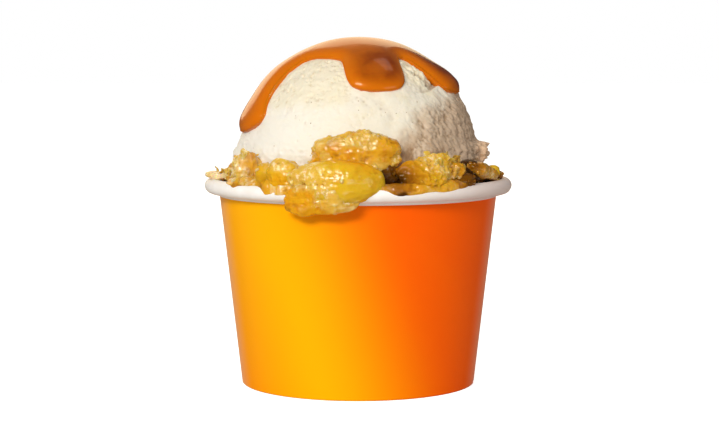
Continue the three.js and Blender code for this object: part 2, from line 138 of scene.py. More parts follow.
LUMPS = (
    Lump(
        "front_apple_wedge", "fruit", -7.8, 45.2, 65, (13.8, 5.6, 6.6), square=2.5, curl=2.4, tilt=3,
        rough=0.04, grain=6, seed=1.3, shade=0, knobs=(((-0.85, -0.2, 0.5), 0.3, 0.42),),
        crumbly=(((-1, -0.4, 0.3), 0.8), ((-0.6, -0.5, -0.7), 0.5), ((-0.5, -1, -0.1), 0.3)),
        amber=(((0.1, 0, 1), 0.35), ((0.55, -0.2, 1), 0.45)),
    ),
    Lump(
        "upper_crust_chunk", "crust", -1.5, 40.2, 72.6, (12, 5, 6.4), square=3, curl=2, tilt=1, rough=0.14,
        grain=2.9, seed=2.2, shade=0, amber=(((-1, -0.5, -0.3), 0.4), ((0.1, -0.6, -1), 0.35)),
        painted_shade_spots=(((0.35, -0.2, -1), 0.34),), craggy=0.4, knobs=(((0.85, -0.3, -0.5), 0.28, 0.5),
        ((0.1, -0.2, 1), 0.1, 0.5), ((-0.8, -0.2, -0.75), 0.3, 0.45)),
    ),
    Lump(
        "front_soaked_crust", "crust", -13, 46.8, 61, (10.4, 3.7, 5), curl=1.2, tilt=4, rough=0.16,
        grain=2.5, seed=3.7, shade=0, amber=(((-1, -0.4, -0.2), 0.75), ((-0.2, -0.5, -1), 0.4),
        ((0.7, -0.3, 0.7), 0.4)), knobs=(((-0.6, -0.2, -0.7), 0.2, 0.5), ((0.5, -0.3, -0.8), 0.18, 0.4)),
    ),
    Lump(
        "front_left_apple_lump", "fruit", -29.5, 43.6, 66, (5.4, 4.4, 5.6), square=2.6, rough=0.12,
        grain=2.8, seed=4.1, shade=0, crumbly=(((0, -0.4, 1), 0.9),), amber=(((-0.1, -0.8, -0.6), 1.15),),
        knobs=(((-0.3, -0.2, 0.9), 0.16, 0.4),), craggy=0.4,
    ),
    Lump(
        "right_glazed_apple", "fruit", 27.5, 42.4, 65.8, (9.6, 4.8, 5.9), square=2.5, curl=1, tilt=2,
        rough=0.09, grain=3.6, seed=5.6, shade=0, crumbly=(((0.5, -0.4, 1), 0.8), ((0.9, -0.6, 0.1), 0.5)),
        painted_shade_spots=(((-1, -0.3, 0), 0.85), ((0.5, -0.6, -0.5), 0.3)), amber=(((-0.9, -0.5, 0.1), 1.1),
        ((0.2, -0.5, -1), 0.7)), cream=0.1, flakes=9, craggy=1.1, knobs=(((0.45, -0.2, 0.85), 0.32, 0.35),
        ((-0.7, -0.3, 0.6), 0.12, 0.4)),
    ),
    Lump(
        "right_toasted_crust", "crust", 40, 42.8, 67, (4.2, 3.4, 3.6), square=2.8, tilt=-15, rough=0.19,
        grain=2.2, seed=6.4, shade=0.22, cream=0.1, painted_shade_spots=(((0.9, -0.4, -0.3), 0.55),
        ((-0.75, -0.6, 0.1), 0.3, 0.6)), amber=(((0, -0.5, -1), 0.5),), flakes=14, craggy=0.8,
    ),
    Lump(
        "left_folded_crust", "crust", -54, 41, 66.8, (5, 3.8, 5.4), square=2.6, rough=0.17, grain=2.4,
        seed=7.9, shade=0.05, flakes=3, craggy=0.9, knobs=(((0.72, -0.2, 0.8), 0.34, 0.45),
        ((0.75, -0.6, 0.15), -0.25, 0.4), ((-0.7, -0.5, -0.4), 0.15, 0.35)),
        painted_shade_spots=(((0.85, -0.5, 0.0), 0.35, 0.3),), crumbly=(((-0.5, -0.6, 0.3), 0.8),),
    ),
    Lump(
        "left_apple_cube", "fruit", -38.8, 43.4, 66.6, (3, 3, 3.5), rough=0.08, grain=2.8, seed=8.2,
        shade=0.05, crumbly=(((0.4, -0.5, 0.8), 0.5),), amber=(((0, -0.5, -1), 0.45),),
    ),
    # Painted shade: this apple lies in the shade under the ice cream's skirt.
    Lump(
        "right_small_apple", "fruit", 44.5, 43.8, 64, (4.8, 3, 2.9), rough=0.08, grain=3, seed=9.5,
        shade=0.75,
    ),
    Lump(
        "right_crust_flap", "crust", 63, 41.6, 66, (8, 3.6, 2.4), square=2.8, tilt=-14, rough=0.19,
        grain=2.4, seed=10.1, shade=0.1, painted_shade_spots=(((-1, -0.3, 0.3), 0.75, 0.6), ((0.3, -0.5, -1), 0.35)),
        amber=(((0.3, -0.5, 0.3), 0.6),), craggy=0.7,
    ),
    Lump("right_glazed_bead", "fruit", 73.5, 42.4, 66, (2.4, 2.4, 2.3), rough=0.05, seed=11.2, shade=0.1),
    Lump(
        "right_rim_crumb", "crust", 82, 43.2, 64.9, (2.2, 1.8, 1.3), rough=0.2, grain=1.4, seed=12.4,
        shade=0.4,
    ),
    Lump(
        "left_crumb_bank", "crust", -50, 44.2, 63.9, (7.4, 2.4, 1.8), curl=1, rough=0.23, grain=1.7,
        seed=13.8,
    ),
    Lump(
        "left_thin_flake", "crust", -78, 43.2, 64.6, (4.4, 4.4, 1.4), lean=-4, rough=0.26, grain=1.9,
        seed=14.6, shade=0, cream=0.5, flakes=8,
    ),
    # A crust piece in a shaded gap, darkened with painted shade.
    Lump(
        "front_hollow_crust", "crust", 10.5, 40.6, 66, (4, 3, 4.6), square=2.8, rough=0.18, grain=2.1,
        seed=25.3, shade=0.78, painted_shade_spots=(((-0.3, -0.5, -0.6), 0.8),),
    ),
    # A crust piece in a shaded gap under the skirt, darkened with painted shade.
    Lump(
        "right_hollow_crust", "crust", 54, 39.8, 66.6, (4.6, 3, 3.4), square=2.8, rough=0.18, grain=2,
        seed=26.7, shade=1,
    ),
    Lump(
        "back_right_crumb", "crust", 101, 40.6, 63.4, (5, 3.2, 2.4), square=2.6, rough=0.2, grain=2,
        seed=15.9,
    ),
    Lump("back_right_apple", "fruit", 119, 41.4, 65, (7.4, 4.2, 4.4), curl=0.8, rough=0.07, seed=16.3),
    Lump(
        "back_crust_corner", "crust", 137, 42.2, 67, (5.6, 4.2, 5.2), square=3, tilt=20, rough=0.19,
        grain=2.4, seed=17.4, shade=0.3, flakes=14,
    ),
    Lump(
        "back_apple_wedge", "fruit", 157, 45.6, 65.4, (11.4, 5.2, 5.2), curl=2, tilt=-4, rough=0.05, grain=5,
        seed=18.8, crumbly=(((1, -0.3, 0.2), 0.6),),
    ),
    Lump(
        "back_high_crust", "crust", 176, 40.2, 71, (9.4, 4.6, 5.6), square=2.8, curl=1.4, tilt=6, rough=0.17,
        grain=2.7, seed=19.1, shade=0.2, flakes=14, knobs=(((-0.7, -0.3, -0.6), 0.25, 0.5),),
    ),
    Lump(
        "back_apple_lump", "fruit", 187, 45.8, 64.8, (6.4, 4.4, 4.2), rough=0.08, grain=3.4, seed=20.7,
        shade=0.2,
    ),
    Lump(
        "back_soaked_crust", "crust", 206, 42.8, 66.2, (7.6, 4.6, 5.4), square=2.6, tilt=-10, rough=0.19,
        grain=2.5, seed=21.2, amber=(((0.5, -0.6, -0.6), 0.6),), flakes=12,
    ),
    Lump(
        "back_apple_cube", "fruit", 225, 43.2, 65.2, (5, 4, 4), square=2.8, tilt=12, rough=0.07, grain=3.4,
        seed=22.6,
    ),
    Lump(
        "back_left_crust", "crust", 242, 41.8, 64.8, (7, 4, 3.8), square=2.6, tilt=8, rough=0.2, grain=2.2,
        seed=23.9, shade=0.3,
    ),
    Lump("back_left_apple", "fruit", 260, 40.8, 63.4, (5.2, 3.4, 2.6), rough=0.08, grain=3, seed=24.5),
)


# Arithmetic on whole arrays

def smooth(t):
    """Eases from 0 to 1 as t goes from 0 to 1: t squared times three less two t."""
    t = np.clip(t, 0, 1)
    return t * t * (3 - 2 * t)


def hump(t):
    """A bell curve: e to the minus t squared."""
    return np.exp(-np.square(t))


def turn_between(a, b):
    """The difference of two bearings in degrees, from -180 to 180."""
    return (a - b + 540) % 360 - 180


def toward(bearing, middle, wide):
    """A bell curve of the bearing round a middle, as wide as given."""
    return hump(turn_between(bearing, middle) / wide)


def within(bearing, middle, half, fade):
    """1 up to nearly half the width on each side of a bearing, easing to 0 there."""
    return smooth((half - np.abs(turn_between(bearing, middle))) / fade)


def xyz(x, y, z):
    """Stacks three coordinate arrays into points."""
    return np.stack(np.broadcast_arrays(x, y, z), axis=-1).astype(float)


def swell(points, size, seed):
    """Six sine waves in scattered directions, each finer than the last, scaled to about -1 to 1."""
    total = 0
    for i in range(6):
        a = 2.399963 * (i + 1) + seed
        b = 1.324718 * (i + 1) ** 2 + 0.7 * seed
        finer = 1 + 0.35 * i
        level = points[..., 0] * math.cos(a) + points[..., 1] * math.sin(a)
        across = level * math.sin(b) + points[..., 2] * math.cos(b)
        total = total + np.sin(across * finer / size + 1.7 * i + seed) / finer
    return total / 2.4


def chance(cell, seed):
    """A fixed number from 0 to 1 for each whole-number cell, by mixing its three numbers' bits."""
    h = cell[..., 0] * 73856093 ^ cell[..., 1] * 19349663 ^ cell[..., 2] * 83492791
    h = h ^ (seed * 668265263 + 374761393)
    h = (h ^ (h >> 13)) * 1274126177 & 0xFFFFFFFF
    h = (h ^ (h >> 16)) * 73244475 & 0xFFFFFFFF
    return ((h ^ (h >> 15)) & 0xFFFF) / 65535


def cloud(points, size, seed):
    """Value noise from -1 to 1: random numbers on a lattice of the given size, eased between its corners."""
    p = points / size
    low = np.floor(p).astype(np.int64)
    t = smooth(p - low)
    total = 0
    for i, j, k in np.ndindex(2, 2, 2):
        weight = np.abs(1 - i - t[..., 0]) * np.abs(1 - j - t[..., 1]) * np.abs(1 - k - t[..., 2])
        total = total + weight * chance(low + (i, j, k), seed)
    return 2 * total - 1


def layers(points, size, seed, count):
    """Clouds added together, each half as large and half as strong as the one before."""
    total = sum(cloud(points + 31 * i, size / 2**i, seed + i) / 2**i for i in range(count))
    return total / (2 - 0.5 ** (count - 1))


def crags(points, size, seed, count):
    """Sharp ridges between rounded hollows: one less each cloud's distance from zero, added up."""
    total = 0
    for i in range(count):
        total = total + (1 - 2.2 * np.abs(cloud(points + 17 * i, size / 1.9**i, seed + i))) / 1.8**i
    return total / 2


def pits(points, size, seed):
    """Distance to the nearest of a lattice of scattered spots, from 0 at a spot to about 1 between them."""
    p = points / size
    low = np.floor(p).astype(np.int64)
    nearest = np.full(points.shape[:-1], 9.0)
    for i, j, k in np.ndindex(3, 3, 3):
        cell = low + (i - 1, j - 1, k - 1)
        spot = cell + xyz(*(chance(cell, seed + turn) for turn in range(3)))
        nearest = np.minimum(nearest, np.sum((p - spot) ** 2, axis=-1))
    return np.sqrt(nearest)


# Shapes shared with the solids

def wall_radius(z):
    """Outer radius of the tub's wall at a height: the foot's radius and the taper times the height."""
    return FOOT_RADIUS + WALL_TAPER * z


def round_axis(bearing, radius, height):
    """The point at a bearing, a distance from the tub's axis and a height."""
    b = np.radians(bearing)
    return xyz(radius * np.sin(b), -radius * np.cos(b), height)


def from_scoop(bearing, elevation, radius):
    """The point at a bearing, an elevation and a distance from the scoop's middle."""
    e = np.radians(elevation)
    return round_axis(bearing, radius * np.cos(e), SCOOP_HEIGHT + radius * np.sin(e))


def scoop_radius(bearing, elevation):
    """The ball's radius with its spread foot, flat side, ragged skirt, lip, hollow and slow unevenness."""
    right = toward(bearing, 90, 24)
    spread = SCOOP_SPREAD * smooth((SCOOP_SHOULDER - elevation) / 30) * (1 - right)
    flat_side = -0.5 * toward(bearing, 78, 30) * hump((elevation - 20) / 12)
    spot = from_scoop(bearing, elevation, SCOOP_RADIUS)
    fringe = 0.75 + 0.75 * layers(spot, 3.2, 33, 2)
    skirt = 3.4 * right * fringe * smooth((12.5 - elevation) / 5) * smooth((elevation + 1.5) / 6)
    lip = 0.8 * smooth((43 - elevation) / 5) * hump((elevation - 26) / 18)
    past = turn_between(bearing, 0) - 44
    lip_side = smooth((past - 0.35 * elevation) / 7) * toward(bearing, 74, 24)
    hollow = -0.7 * toward(bearing, 42, 12) * hump((elevation - 50) / 9)
    uneven = 0.28 * swell(spot, 7, 2.1)
    ragged = 0.7 * np.abs(swell(spot, 2.6, 5.3)) * smooth((12 - elevation) / 12)
    return SCOOP_RADIUS + spread + flat_side + skirt + lip * lip_side + hollow + uneven + ragged


def icy(bearing, elevation):
    """How icy the ice cream is: 1 under a line that climbs from the front to its right and back."""
    past = turn_between(bearing, 110) + 107
    wander = 9 * layers(from_scoop(bearing, elevation, SCOOP_RADIUS), 5, 57, 3)
    line = 42 * (1 - np.exp(-np.maximum(past, 0) / 30)) + wander
    return smooth((line - elevation + 6) / 17) * (1 - smooth((past - 182) / 30))


def torn(bearing, elevation):
    """Where the scoop tore the ice cream: a patch at the upper left, a notch at the right and one behind."""
    spot = from_scoop(bearing, elevation, SCOOP_RADIUS)
    height = elevation - 32 + 5 * layers(spot, 7, 83, 3)
    patch = 0.3 * smooth((height + 22) / 10) + 0.7 * smooth((height + 7) / 12)
    patch = patch * within(bearing, -38, 40, 14)
    notch = toward(bearing, 47, 12) * hump((elevation - 52) / 11)
    behind = smooth((height - 4) / 6) * within(bearing, 198, 40, 12)
    return np.clip(patch + 1.8 * notch + behind, 0, 1.6)


def scoop_skin(bearing, elevation):
    """The scoop's radius with its fine surface: pores and tears on the face, craters on the icy side."""
    base = scoop_radius(bearing, elevation)
    spot = from_scoop(bearing, elevation, base)
    rough = icy(bearing, elevation)
    bare = smooth((sauce_outline(bearing) - elevation + 0.5) / 3.5)
    way = np.array([0.5, 0.25, -0.83])
    drawn = spot - 0.5 * (spot @ way)[..., None] * way
    drag = 0.6 * layers(drawn, 1.1, 41, 3) + 0.7 * layers(drawn, 0.6, 43, 2)
    crater = smooth(1.3 - 2.0 * pits(spot, 2.1, 47)) * smooth(2 * cloud(spot, 6, 49) + 0.7)
    crater_fine = smooth(1.3 - 2.1 * pits(spot, 0.9, 53)) * smooth(2 * cloud(spot, 3, 51) + 0.9)
    pore = smooth(1.1 - 3.0 * pits(spot, 1.7, 67)) * smooth(2.5 * cloud(spot, 5, 69) + 0.6)
    upright = 0.45 * layers(spot * (1, 1, 0.3), 3.4, 75, 2) * smooth((turn_between(bearing, 0) + 5) / 25)
    upright = upright * smooth((48 - elevation) / 8)
    face = 0.35 * layers(spot * (1, 1, 1.6), 7.5, 71, 3) - 0.35 * pore
    face = face + 0.09 * layers(spot, 0.9, 77, 2) + upright
    notch = toward(bearing, 50, 16)
    chunk = (0.38 + 0.3 * notch) * crags(spot, 3.8, 61, 4) + (0.16 + 0.3 * notch) * layers(spot, 1.1, 65, 2)
    chunk = chunk - 0.6 * smooth(1.3 - 2 * pits(spot, 1.3, 63)) * smooth(2.5 * cloud(spot, 3.5, 64) + 0.2)
    rip = torn(bearing, elevation) * (chunk - 0.1) * bare
    side = toward(bearing, 92, 30)
    frill_here = smooth((13 - elevation) / 6) * (0.35 + side)
    frill = 0.9 * layers(spot * (1, 1, 0.7), 2.4, 73, 3) + 0.9 * crags(spot, 1.7, 79, 2) - 0.25
    fringe = 1.9 * side * hump((elevation - 7) / 6) * crags(spot * (1, 1, 0.8), 3.0, 91, 3)
    frill = frill_here * frill + fringe
    ridged = layers(spot * (1, 1, 0.32), 2.6, 45, 2)
    ice = rough * (0.5 * drag + 0.75 * ridged - 0.5 * crater - 0.4 * crater_fine + 0.25)
    brink = elevation - 37.3 - 3.4 * smooth((turn_between(bearing, 44)) / 18) - 1.2 * layers(spot, 3, 95, 3)
    scar = -1.1 * toward(bearing, 61, 18) * smooth(brink / 1.3) * (1 - smooth((brink - 3) / 8))
    return base + face * (1 - 0.5 * rough) + rip + frill + ice + scar


def sauce_outline(bearing):
    """Elevation of the sauce's edge: a wavy shore lowered by each drip, a flat hump with steep sides."""
    shore = SAUCE_SHORE + SAUCE_WAVE * np.sin(np.radians(4 * bearing + 250))
    level = shore
    for middle, half, tip, steep, _ in SAUCE_DRIPS:
        t = turn_between(bearing, middle) / half
        plateau = 0.5 * (np.tanh((1 + t) * steep) + np.tanh((1 - t) * steep))
        level = level - (shore - tip) * plateau * (1 - 0.16 * t * t)
    return level


# Meshes from grids of points

def finish_mesh(context, name, points, faces, node_names, finishes, face_material=None, marks=None):
    """Makes an object from points in millimetres and faces, and gives it its place in the frame."""
    mesh = bpy.data.meshes.new(name)
    mesh.from_pydata(points * MM, [], faces)
    mesh.polygons.foreach_set("use_smooth", np.ones(len(mesh.polygons), dtype=bool))
    for finish in finishes:
        mesh.materials.append(material_for(context, finish))
    if face_material is not None:
        mesh.polygons.foreach_set("material_index", face_material.astype(np.int32))
    for label, values in (marks or {}).items():
        layer = mesh.attributes.new(label, "FLOAT", "POINT")
        layer.data.foreach_set("value", np.asarray(values, dtype=np.float32).ravel())
    mesh.validate()
    mesh.update()
    piece = bpy.data.objects.new(name, mesh)
    context.scene.collection.objects.link(piece)
    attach(piece, "root")
    if node_names:
        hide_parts(*node_names)
    return piece


def ring_faces(rows, columns):
    """Quads between rows of points that each close on themselves, facing left of the way the rows run."""
    r, c = np.meshgrid(np.arange(rows - 1), np.arange(columns), indexing="ij")
    ahead = (c + 1) % columns
    a, b = r * columns + c, r * columns + ahead
    return np.stack([a, a + columns, b + columns, b], axis=-1).reshape(-1, 4)


def tube_faces(rows, columns):
    """Quads of a skin that closes on itself both ways, its last row joined to its first."""
    faces = ring_faces(rows + 1, columns)
    return np.where(faces >= rows * columns, faces - rows * columns, faces)


def many_faces(faces, size, count):
    """The faces of a number of copies that have the given number of points each."""
    return [[size * i + v for v in face] for i in range(count) for face in faces]


def ball_mesh(points, first, last):
    """Points and faces of a closed skin: rings of points between a first and a last point."""
    rows, columns = points.shape[:2]
    c = np.arange(columns)
    ahead = (c + 1) % columns
    head, tail = rows * columns, rows * columns + 1
    base = (rows - 1) * columns
    cap = np.stack([np.full(columns, head), c, ahead], axis=-1)
    foot = np.stack([np.full(columns, tail), base + ahead, base + c], axis=-1)
    everything = np.concatenate([points.reshape(-1, 3), [first], [last]])
    return everything, ring_faces(rows, columns).tolist() + cap.tolist() + foot.tolist()


# Materials

def add(tree, kind, *ordered, **named):
    """Adds a shader node with its settings, named in small letters, and its sockets set or linked."""
    node = tree.nodes.new(kind if kind.startswith("NodeGroup") else "ShaderNode" + kind)
    node.location = (NODE_SPACING * len(tree.nodes), 0)
    for key in [key for key in named if key[0].islower()]:
        setattr(node, key, named.pop(key))
    for key, value in [*enumerate(ordered), *named.items()]:
        socket = node.inputs[key.replace("_", " ") if isinstance(key, str) else key]
        if isinstance(value, bpy.types.NodeSocket):
            tree.links.new(value, socket)
        else:
            socket.default_value = value
    return node


def new_material(name):
    """An empty material and its tree."""
    material = bpy.data.materials.new(name)
    material.use_nodes = True
    material.node_tree.nodes.clear()
    return material, material.node_tree


def look(material, **sockets):
    """Ends a material with a Principled shader, its sockets set or linked by name."""
    skin = add(material.node_tree, "BsdfPrincipled", **sockets)
    add(material.node_tree, "OutputMaterial", Surface=skin.outputs["BSDF"])
    return material


def by_ray(tree, output, seen, mirrored, other):
    """Ends a tree with one shader for the camera, one for mirrored rays and one for all other light."""
    path = add(tree, "LightPath").outputs
    unseen = add(tree, "MixShader", path["Is Glossy Ray"], other.outputs[0], mirrored.outputs[0])
    either = add(tree, "MixShader", path["Is Camera Ray"], unseen.outputs[0], seen.outputs[0])
    add(tree, output, Surface=either.outputs[0])


def place_here(tree):
    """The object's own coordinates."""
    return add(tree, "TexCoord").outputs["Object"]


def noise(tree, scale, detail, roughness):
    """Noise in the object's own coordinates."""
    sockets = {"Scale": scale, "Detail": detail, "Roughness": roughness}
    return add(tree, "TexNoise", Vector=place_here(tree), **sockets).outputs["Fac"]


def along(tree, axis):
    """The object's own coordinate along one axis."""
    return add(tree, "SeparateXYZ", place_here(tree)).outputs[axis]


def reckon(tree, operation, *values):
    """One step of arithmetic."""
    return add(tree, "Math", *values, operation=operation).outputs["Value"]


def blend(tree, amount, first, second):
    """Mixes two colours by a value; each colour is a socket or four numbers."""
    return add(tree, "Mix", data_type="RGBA", A=first, B=second, Factor=amount).outputs["Result"]


def spread(tree, value, low, high, to_low=0.0, to_high=1.0):
    """Stretches a value's range to another, eased at both ends."""
    return add(
        tree, "MapRange", interpolation_type="SMOOTHSTEP", Value=value, From_Min=low, From_Max=high,
        To_Min=to_low, To_Max=to_high,
    ).outputs["Result"]


def mark(tree, label):
    """Reads a number kept on the mesh's points."""
    return add(tree, "Attribute", attribute_name=label).outputs["Fac"]


def facing(tree):
    """0 where the surface faces the eye and 1 where it is seen edge on."""
    return add(tree, "LayerWeight", Blend=0.5).outputs["Facing"]


def rgba(colour, *factors):
    """A colour with full alpha, each of its parts times a factor where those are given."""
    return (*(part * factor for part, factor in zip(colour, factors or (1, 1, 1))), 1.0)


def group_tree(name, inputs, outputs):
    """A shader group with its inputs' names and values and its outputs' names and kinds."""
    tree = bpy.data.node_groups.new(name, "ShaderNodeTree")
    for label, value in inputs.items():
        kind = "NodeSocketColor" if isinstance(value, tuple) else "NodeSocketFloat"
        tree.interface.new_socket(label, in_out="INPUT", socket_type=kind).default_value = value
    for label, kind in outputs.items():
        tree.interface.new_socket(label, in_out="OUTPUT", socket_type="NodeSocket" + kind)
    return tree, add(tree, "NodeGroupInput").outputs


def mottle_group():
    """Two colours mixed by soft cloudy patches of a given size."""
    inputs = {"Pale": (1, 1, 1, 1), "Deep": (0.5, 0.5, 0.5, 1), "Patches per metre": 200.0}
    inputs = {**inputs, "Start": 0.35, "End": 0.65}
    tree, given = group_tree("Soft mottle", inputs, {"Colour": "Color", "Amount": "Float"})
    patches = noise(tree, given["Patches per metre"], 4.0, 0.6)
    amount = spread(tree, patches, given["Start"], given["End"])
    add(tree, "NodeGroupOutput", Colour=blend(tree, amount, given["Pale"], given["Deep"]), Amount=amount)
    return tree


def grain_group():
    """Fine raised grain as a normal, from noise of a given size and fineness."""
    inputs = {"Grains per metre": 2000.0, "Height": 0.0001, "Strength": 0.5, "Fineness": 5.0}
    tree, given = group_tree("Fine grain", inputs, {"Normal": "Vector", "Grain": "Float"})
    grain = noise(tree, given["Grains per metre"], given["Fineness"], 0.6)
    bump = add(tree, "Bump", Height=grain, Distance=given["Height"], Strength=given["Strength"])
    add(tree, "NodeGroupOutput", Normal=bump.outputs["Normal"], Grain=grain)
    return tree


def speck_group():
    """Small scattered specks: a mask of cells whose middle is near and whose random number is low."""
    inputs = {"Specks per metre": 500.0, "Size": 0.2, "Share": 0.3}
    tree, given = group_tree("Scattered specks", inputs, {"Mask": "Float"})
    cells = add(tree, "TexVoronoi", Vector=place_here(tree), Scale=given["Specks per metre"]).outputs
    near = reckon(tree, "LESS_THAN", cells["Distance"], given["Size"])
    drawn = add(tree, "SeparateColor", cells["Color"]).outputs["Red"]
    kept = reckon(tree, "LESS_THAN", drawn, given["Share"])
    add(tree, "NodeGroupOutput", Mask=reckon(tree, "MULTIPLY", near, kept))
    return tree


def crumb_group():
    """Colour of crumbs: brown in the pits, partly soaked syrup and partly painted shade, golden and then
    cream towards the crests, with fine noise.
    """
    tree, given = group_tree("Crumb colour", {"Relief": 0.5, "Grains per metre": 800.0}, {"Colour": "Color"})
    broken = noise(tree, given["Grains per metre"], 3.0, 0.7)
    level = reckon(tree, "MULTIPLY_ADD", given["Relief"], 0.7, broken)
    golden = blend(tree, spread(tree, level, 0.50, 0.68), (0.40, 0.15, 0.006, 1), (0.74, 0.46, 0.07, 1))
    crest = blend(tree, spread(tree, level, 0.84, 1.04), golden, (0.93, 0.75, 0.42, 1))
    add(tree, "NodeGroupOutput", Colour=crest)
    return tree


# The groups made so far
GROUPS = {}


def use_group(tree, key, **values):
    """Places a shared group in a material, with its own values, and gives its outputs."""
    if key not in GROUPS:
        makers = {"mottle": mottle_group, "grain": grain_group, "speck": speck_group, "crumb": crumb_group}
        GROUPS[key] = makers[key]()
    return add(tree, "Group", node_tree=GROUPS[key], **values).outputs


def printed_paper(warm_painted_light, plain, deep):
    """Coated paper whose print turns from orange through a yellower painted light on one side to a deeper
    orange painted shade on the other, with a pale painted sheen where it is seen edge on.
    """
    material, tree = new_material("Printed paper")
    lean = reckon(tree, "MULTIPLY_ADD", along(tree, "Z"), 0.35, along(tree, "X"))
    # Painted light and shade: the print is yellower left of the middle, more so lower down, and a deeper
    # orange towards the right.
    glow = blend(tree, spread(tree, lean, -0.048, -0.006), rgba(plain), rgba(warm_painted_light))
    tone = blend(tree, spread(tree, lean, -0.012, 0.032), glow, rgba(deep))
    cloudy = use_group(tree, "mottle", Patches_per_metre=30.0)
    printed = blend(tree, spread(tree, cloudy["Amount"], 0, 1, 0, 0.06), tone, rgba(plain))
    # Painted sheen: paler where the paper is seen edge on.
    painted_sheen = spread(tree, facing(tree), 0.6, 1.0, 0.0, 0.55)
    grain = use_group(tree, "grain", Grains_per_metre=1400.0, Height=0.00002, Strength=0.2)
    return look(
        material, Base_Color=blend(tree, painted_sheen, printed, (1.0, 0.62, 0.42, 1)), Normal=grain["Normal"],
        Roughness=spread(tree, grain["Grain"], 0.3, 0.7, 0.35, 0.45), Specular_IOR_Level=0.06,
    )


def plain_paper(colour):
    """Uncoated white paper board, with a warmer, darker painted shade on its shaded right side."""
    material, tree = new_material("Plain paper")
    deep = rgba(colour, 0.95, 0.93, 0.9)
    tone = use_group(tree, "mottle", Pale=rgba(colour), Deep=deep, Patches_per_metre=120.0)
    grain = use_group(tree, "grain", Grains_per_metre=2200.0, Height=0.00006, Strength=0.4)
    # Painted shade: the paper turns warmer and darker towards the right.
    side = spread(tree, along(tree, "X"), 0.01, 0.044)
    return look(
        material, Base_Color=blend(tree, side, tone["Colour"], rgba(colour, 0.83, 0.72, 0.69)),
        Normal=grain["Normal"], Roughness=0.5, Subsurface_Weight=0.1, Subsurface_Radius=(1.0, 0.8, 0.6),
        Subsurface_Scale=0.001,
    )


def ice_cream(colour, shade):
    """Vanilla ice cream: creamy, a little translucent, icier where it was dragged, with vanilla specks;
    painted light on its left side and far right frill, painted shade on its icy right side and in its pits.
    """
    material, tree = new_material("Vanilla ice cream")
    right = along(tree, "X")
    tone = use_group(
        tree, "mottle", Pale=rgba(colour), Deep=rgba(shade), Patches_per_metre=230.0, Start=0.5, End=0.9
    )
    # Painted light: paler and whiter on the left side.
    side = spread(tree, right, -0.03, 0.008)
    painted_light_left = blend(tree, side, rgba(colour, 1.03, 1.06, 1.14), tone["Colour"])
    torn_here = spread(tree, mark(tree, "torn"), 0.1, 1.0, 0.0, 0.5)
    creamy = blend(tree, torn_here, painted_light_left, rgba(shade))
    veins = use_group(tree, "mottle", Patches_per_metre=420.0, Start=0.54, End=0.72)
    vein_here = reckon(tree, "MULTIPLY", veins["Amount"], torn_here)
    creamy = blend(tree, vein_here, creamy, (0.56, 0.40, 0.18, 1))
    # Painted shade: the icy side's tan colour, darker towards the right.
    far = spread(tree, right, 0.012, 0.036, 0.0, 0.85)
    icy_painted_shade = blend(tree, far, (0.62, 0.46, 0.31, 1), (0.39, 0.245, 0.15, 1))
    # Painted light: the far right frill lighter and warmer.
    warm_painted_light = blend(tree, spread(tree, right, 0.0345, 0.038), icy_painted_shade, (0.78, 0.50, 0.31, 1))
    icy_shaded = blend(tree, spread(tree, mark(tree, "icy"), 0, 1, 0.0, 0.85), creamy, warm_painted_light)
    # Painted shade: darker in the pits and craters, by how deep each point sits.
    hollow = spread(tree, mark(tree, "hollow"), 0.08, 1.2, 0.0, 0.7)
    sunk = blend(tree, hollow, icy_shaded, (0.31, 0.19, 0.10, 1))
    soaked = blend(tree, mark(tree, "stain"), sunk, (0.36, 0.20, 0.09, 1))
    specks = use_group(tree, "speck", Specks_per_metre=640.0, Size=0.12, Share=0.2)
    grain = use_group(tree, "grain", Grains_per_metre=1100.0, Height=0.0003, Strength=0.6)
    return look(
        material, Base_Color=blend(tree, specks["Mask"], soaked, (0.40, 0.28, 0.14, 1)),
        Normal=grain["Normal"], Roughness=spread(tree, mark(tree, "icy"), 0, 1, 0.6, 0.4),
        Specular_IOR_Level=0.35, Subsurface_Weight=0.15, Subsurface_Radius=(1.0, 0.75, 0.5),
        Subsurface_Scale=0.0012,
    )


def caramel(thin, thick):
    """Caramel sauce: clear amber where thin, brown where thick, with a wet gloss."""
    material, tree = new_material("Caramel sauce")
    cloudy = use_group(tree, "mottle", Patches_per_metre=55.0, Start=0.35, End=0.7)
    depth = spread(tree, mark(tree, "depth"), 0.1, 1.0)
    deeper = reckon(tree, "MULTIPLY", depth, spread(tree, cloudy["Amount"], 0, 1, 0.5, 1))
    return look(
        material, Base_Color=blend(tree, deeper, rgba(thin), rgba(thick)), Roughness=0.3,
        Specular_IOR_Level=0.3, Specular_Tint=(1.0, 0.6, 0.2, 1), Coat_Weight=0.5, Coat_Roughness=0.06,
        Subsurface_Weight=0.1, Subsurface_Radius=(1.0, 0.25, 0.02), Subsurface_Scale=0.0015,
    )


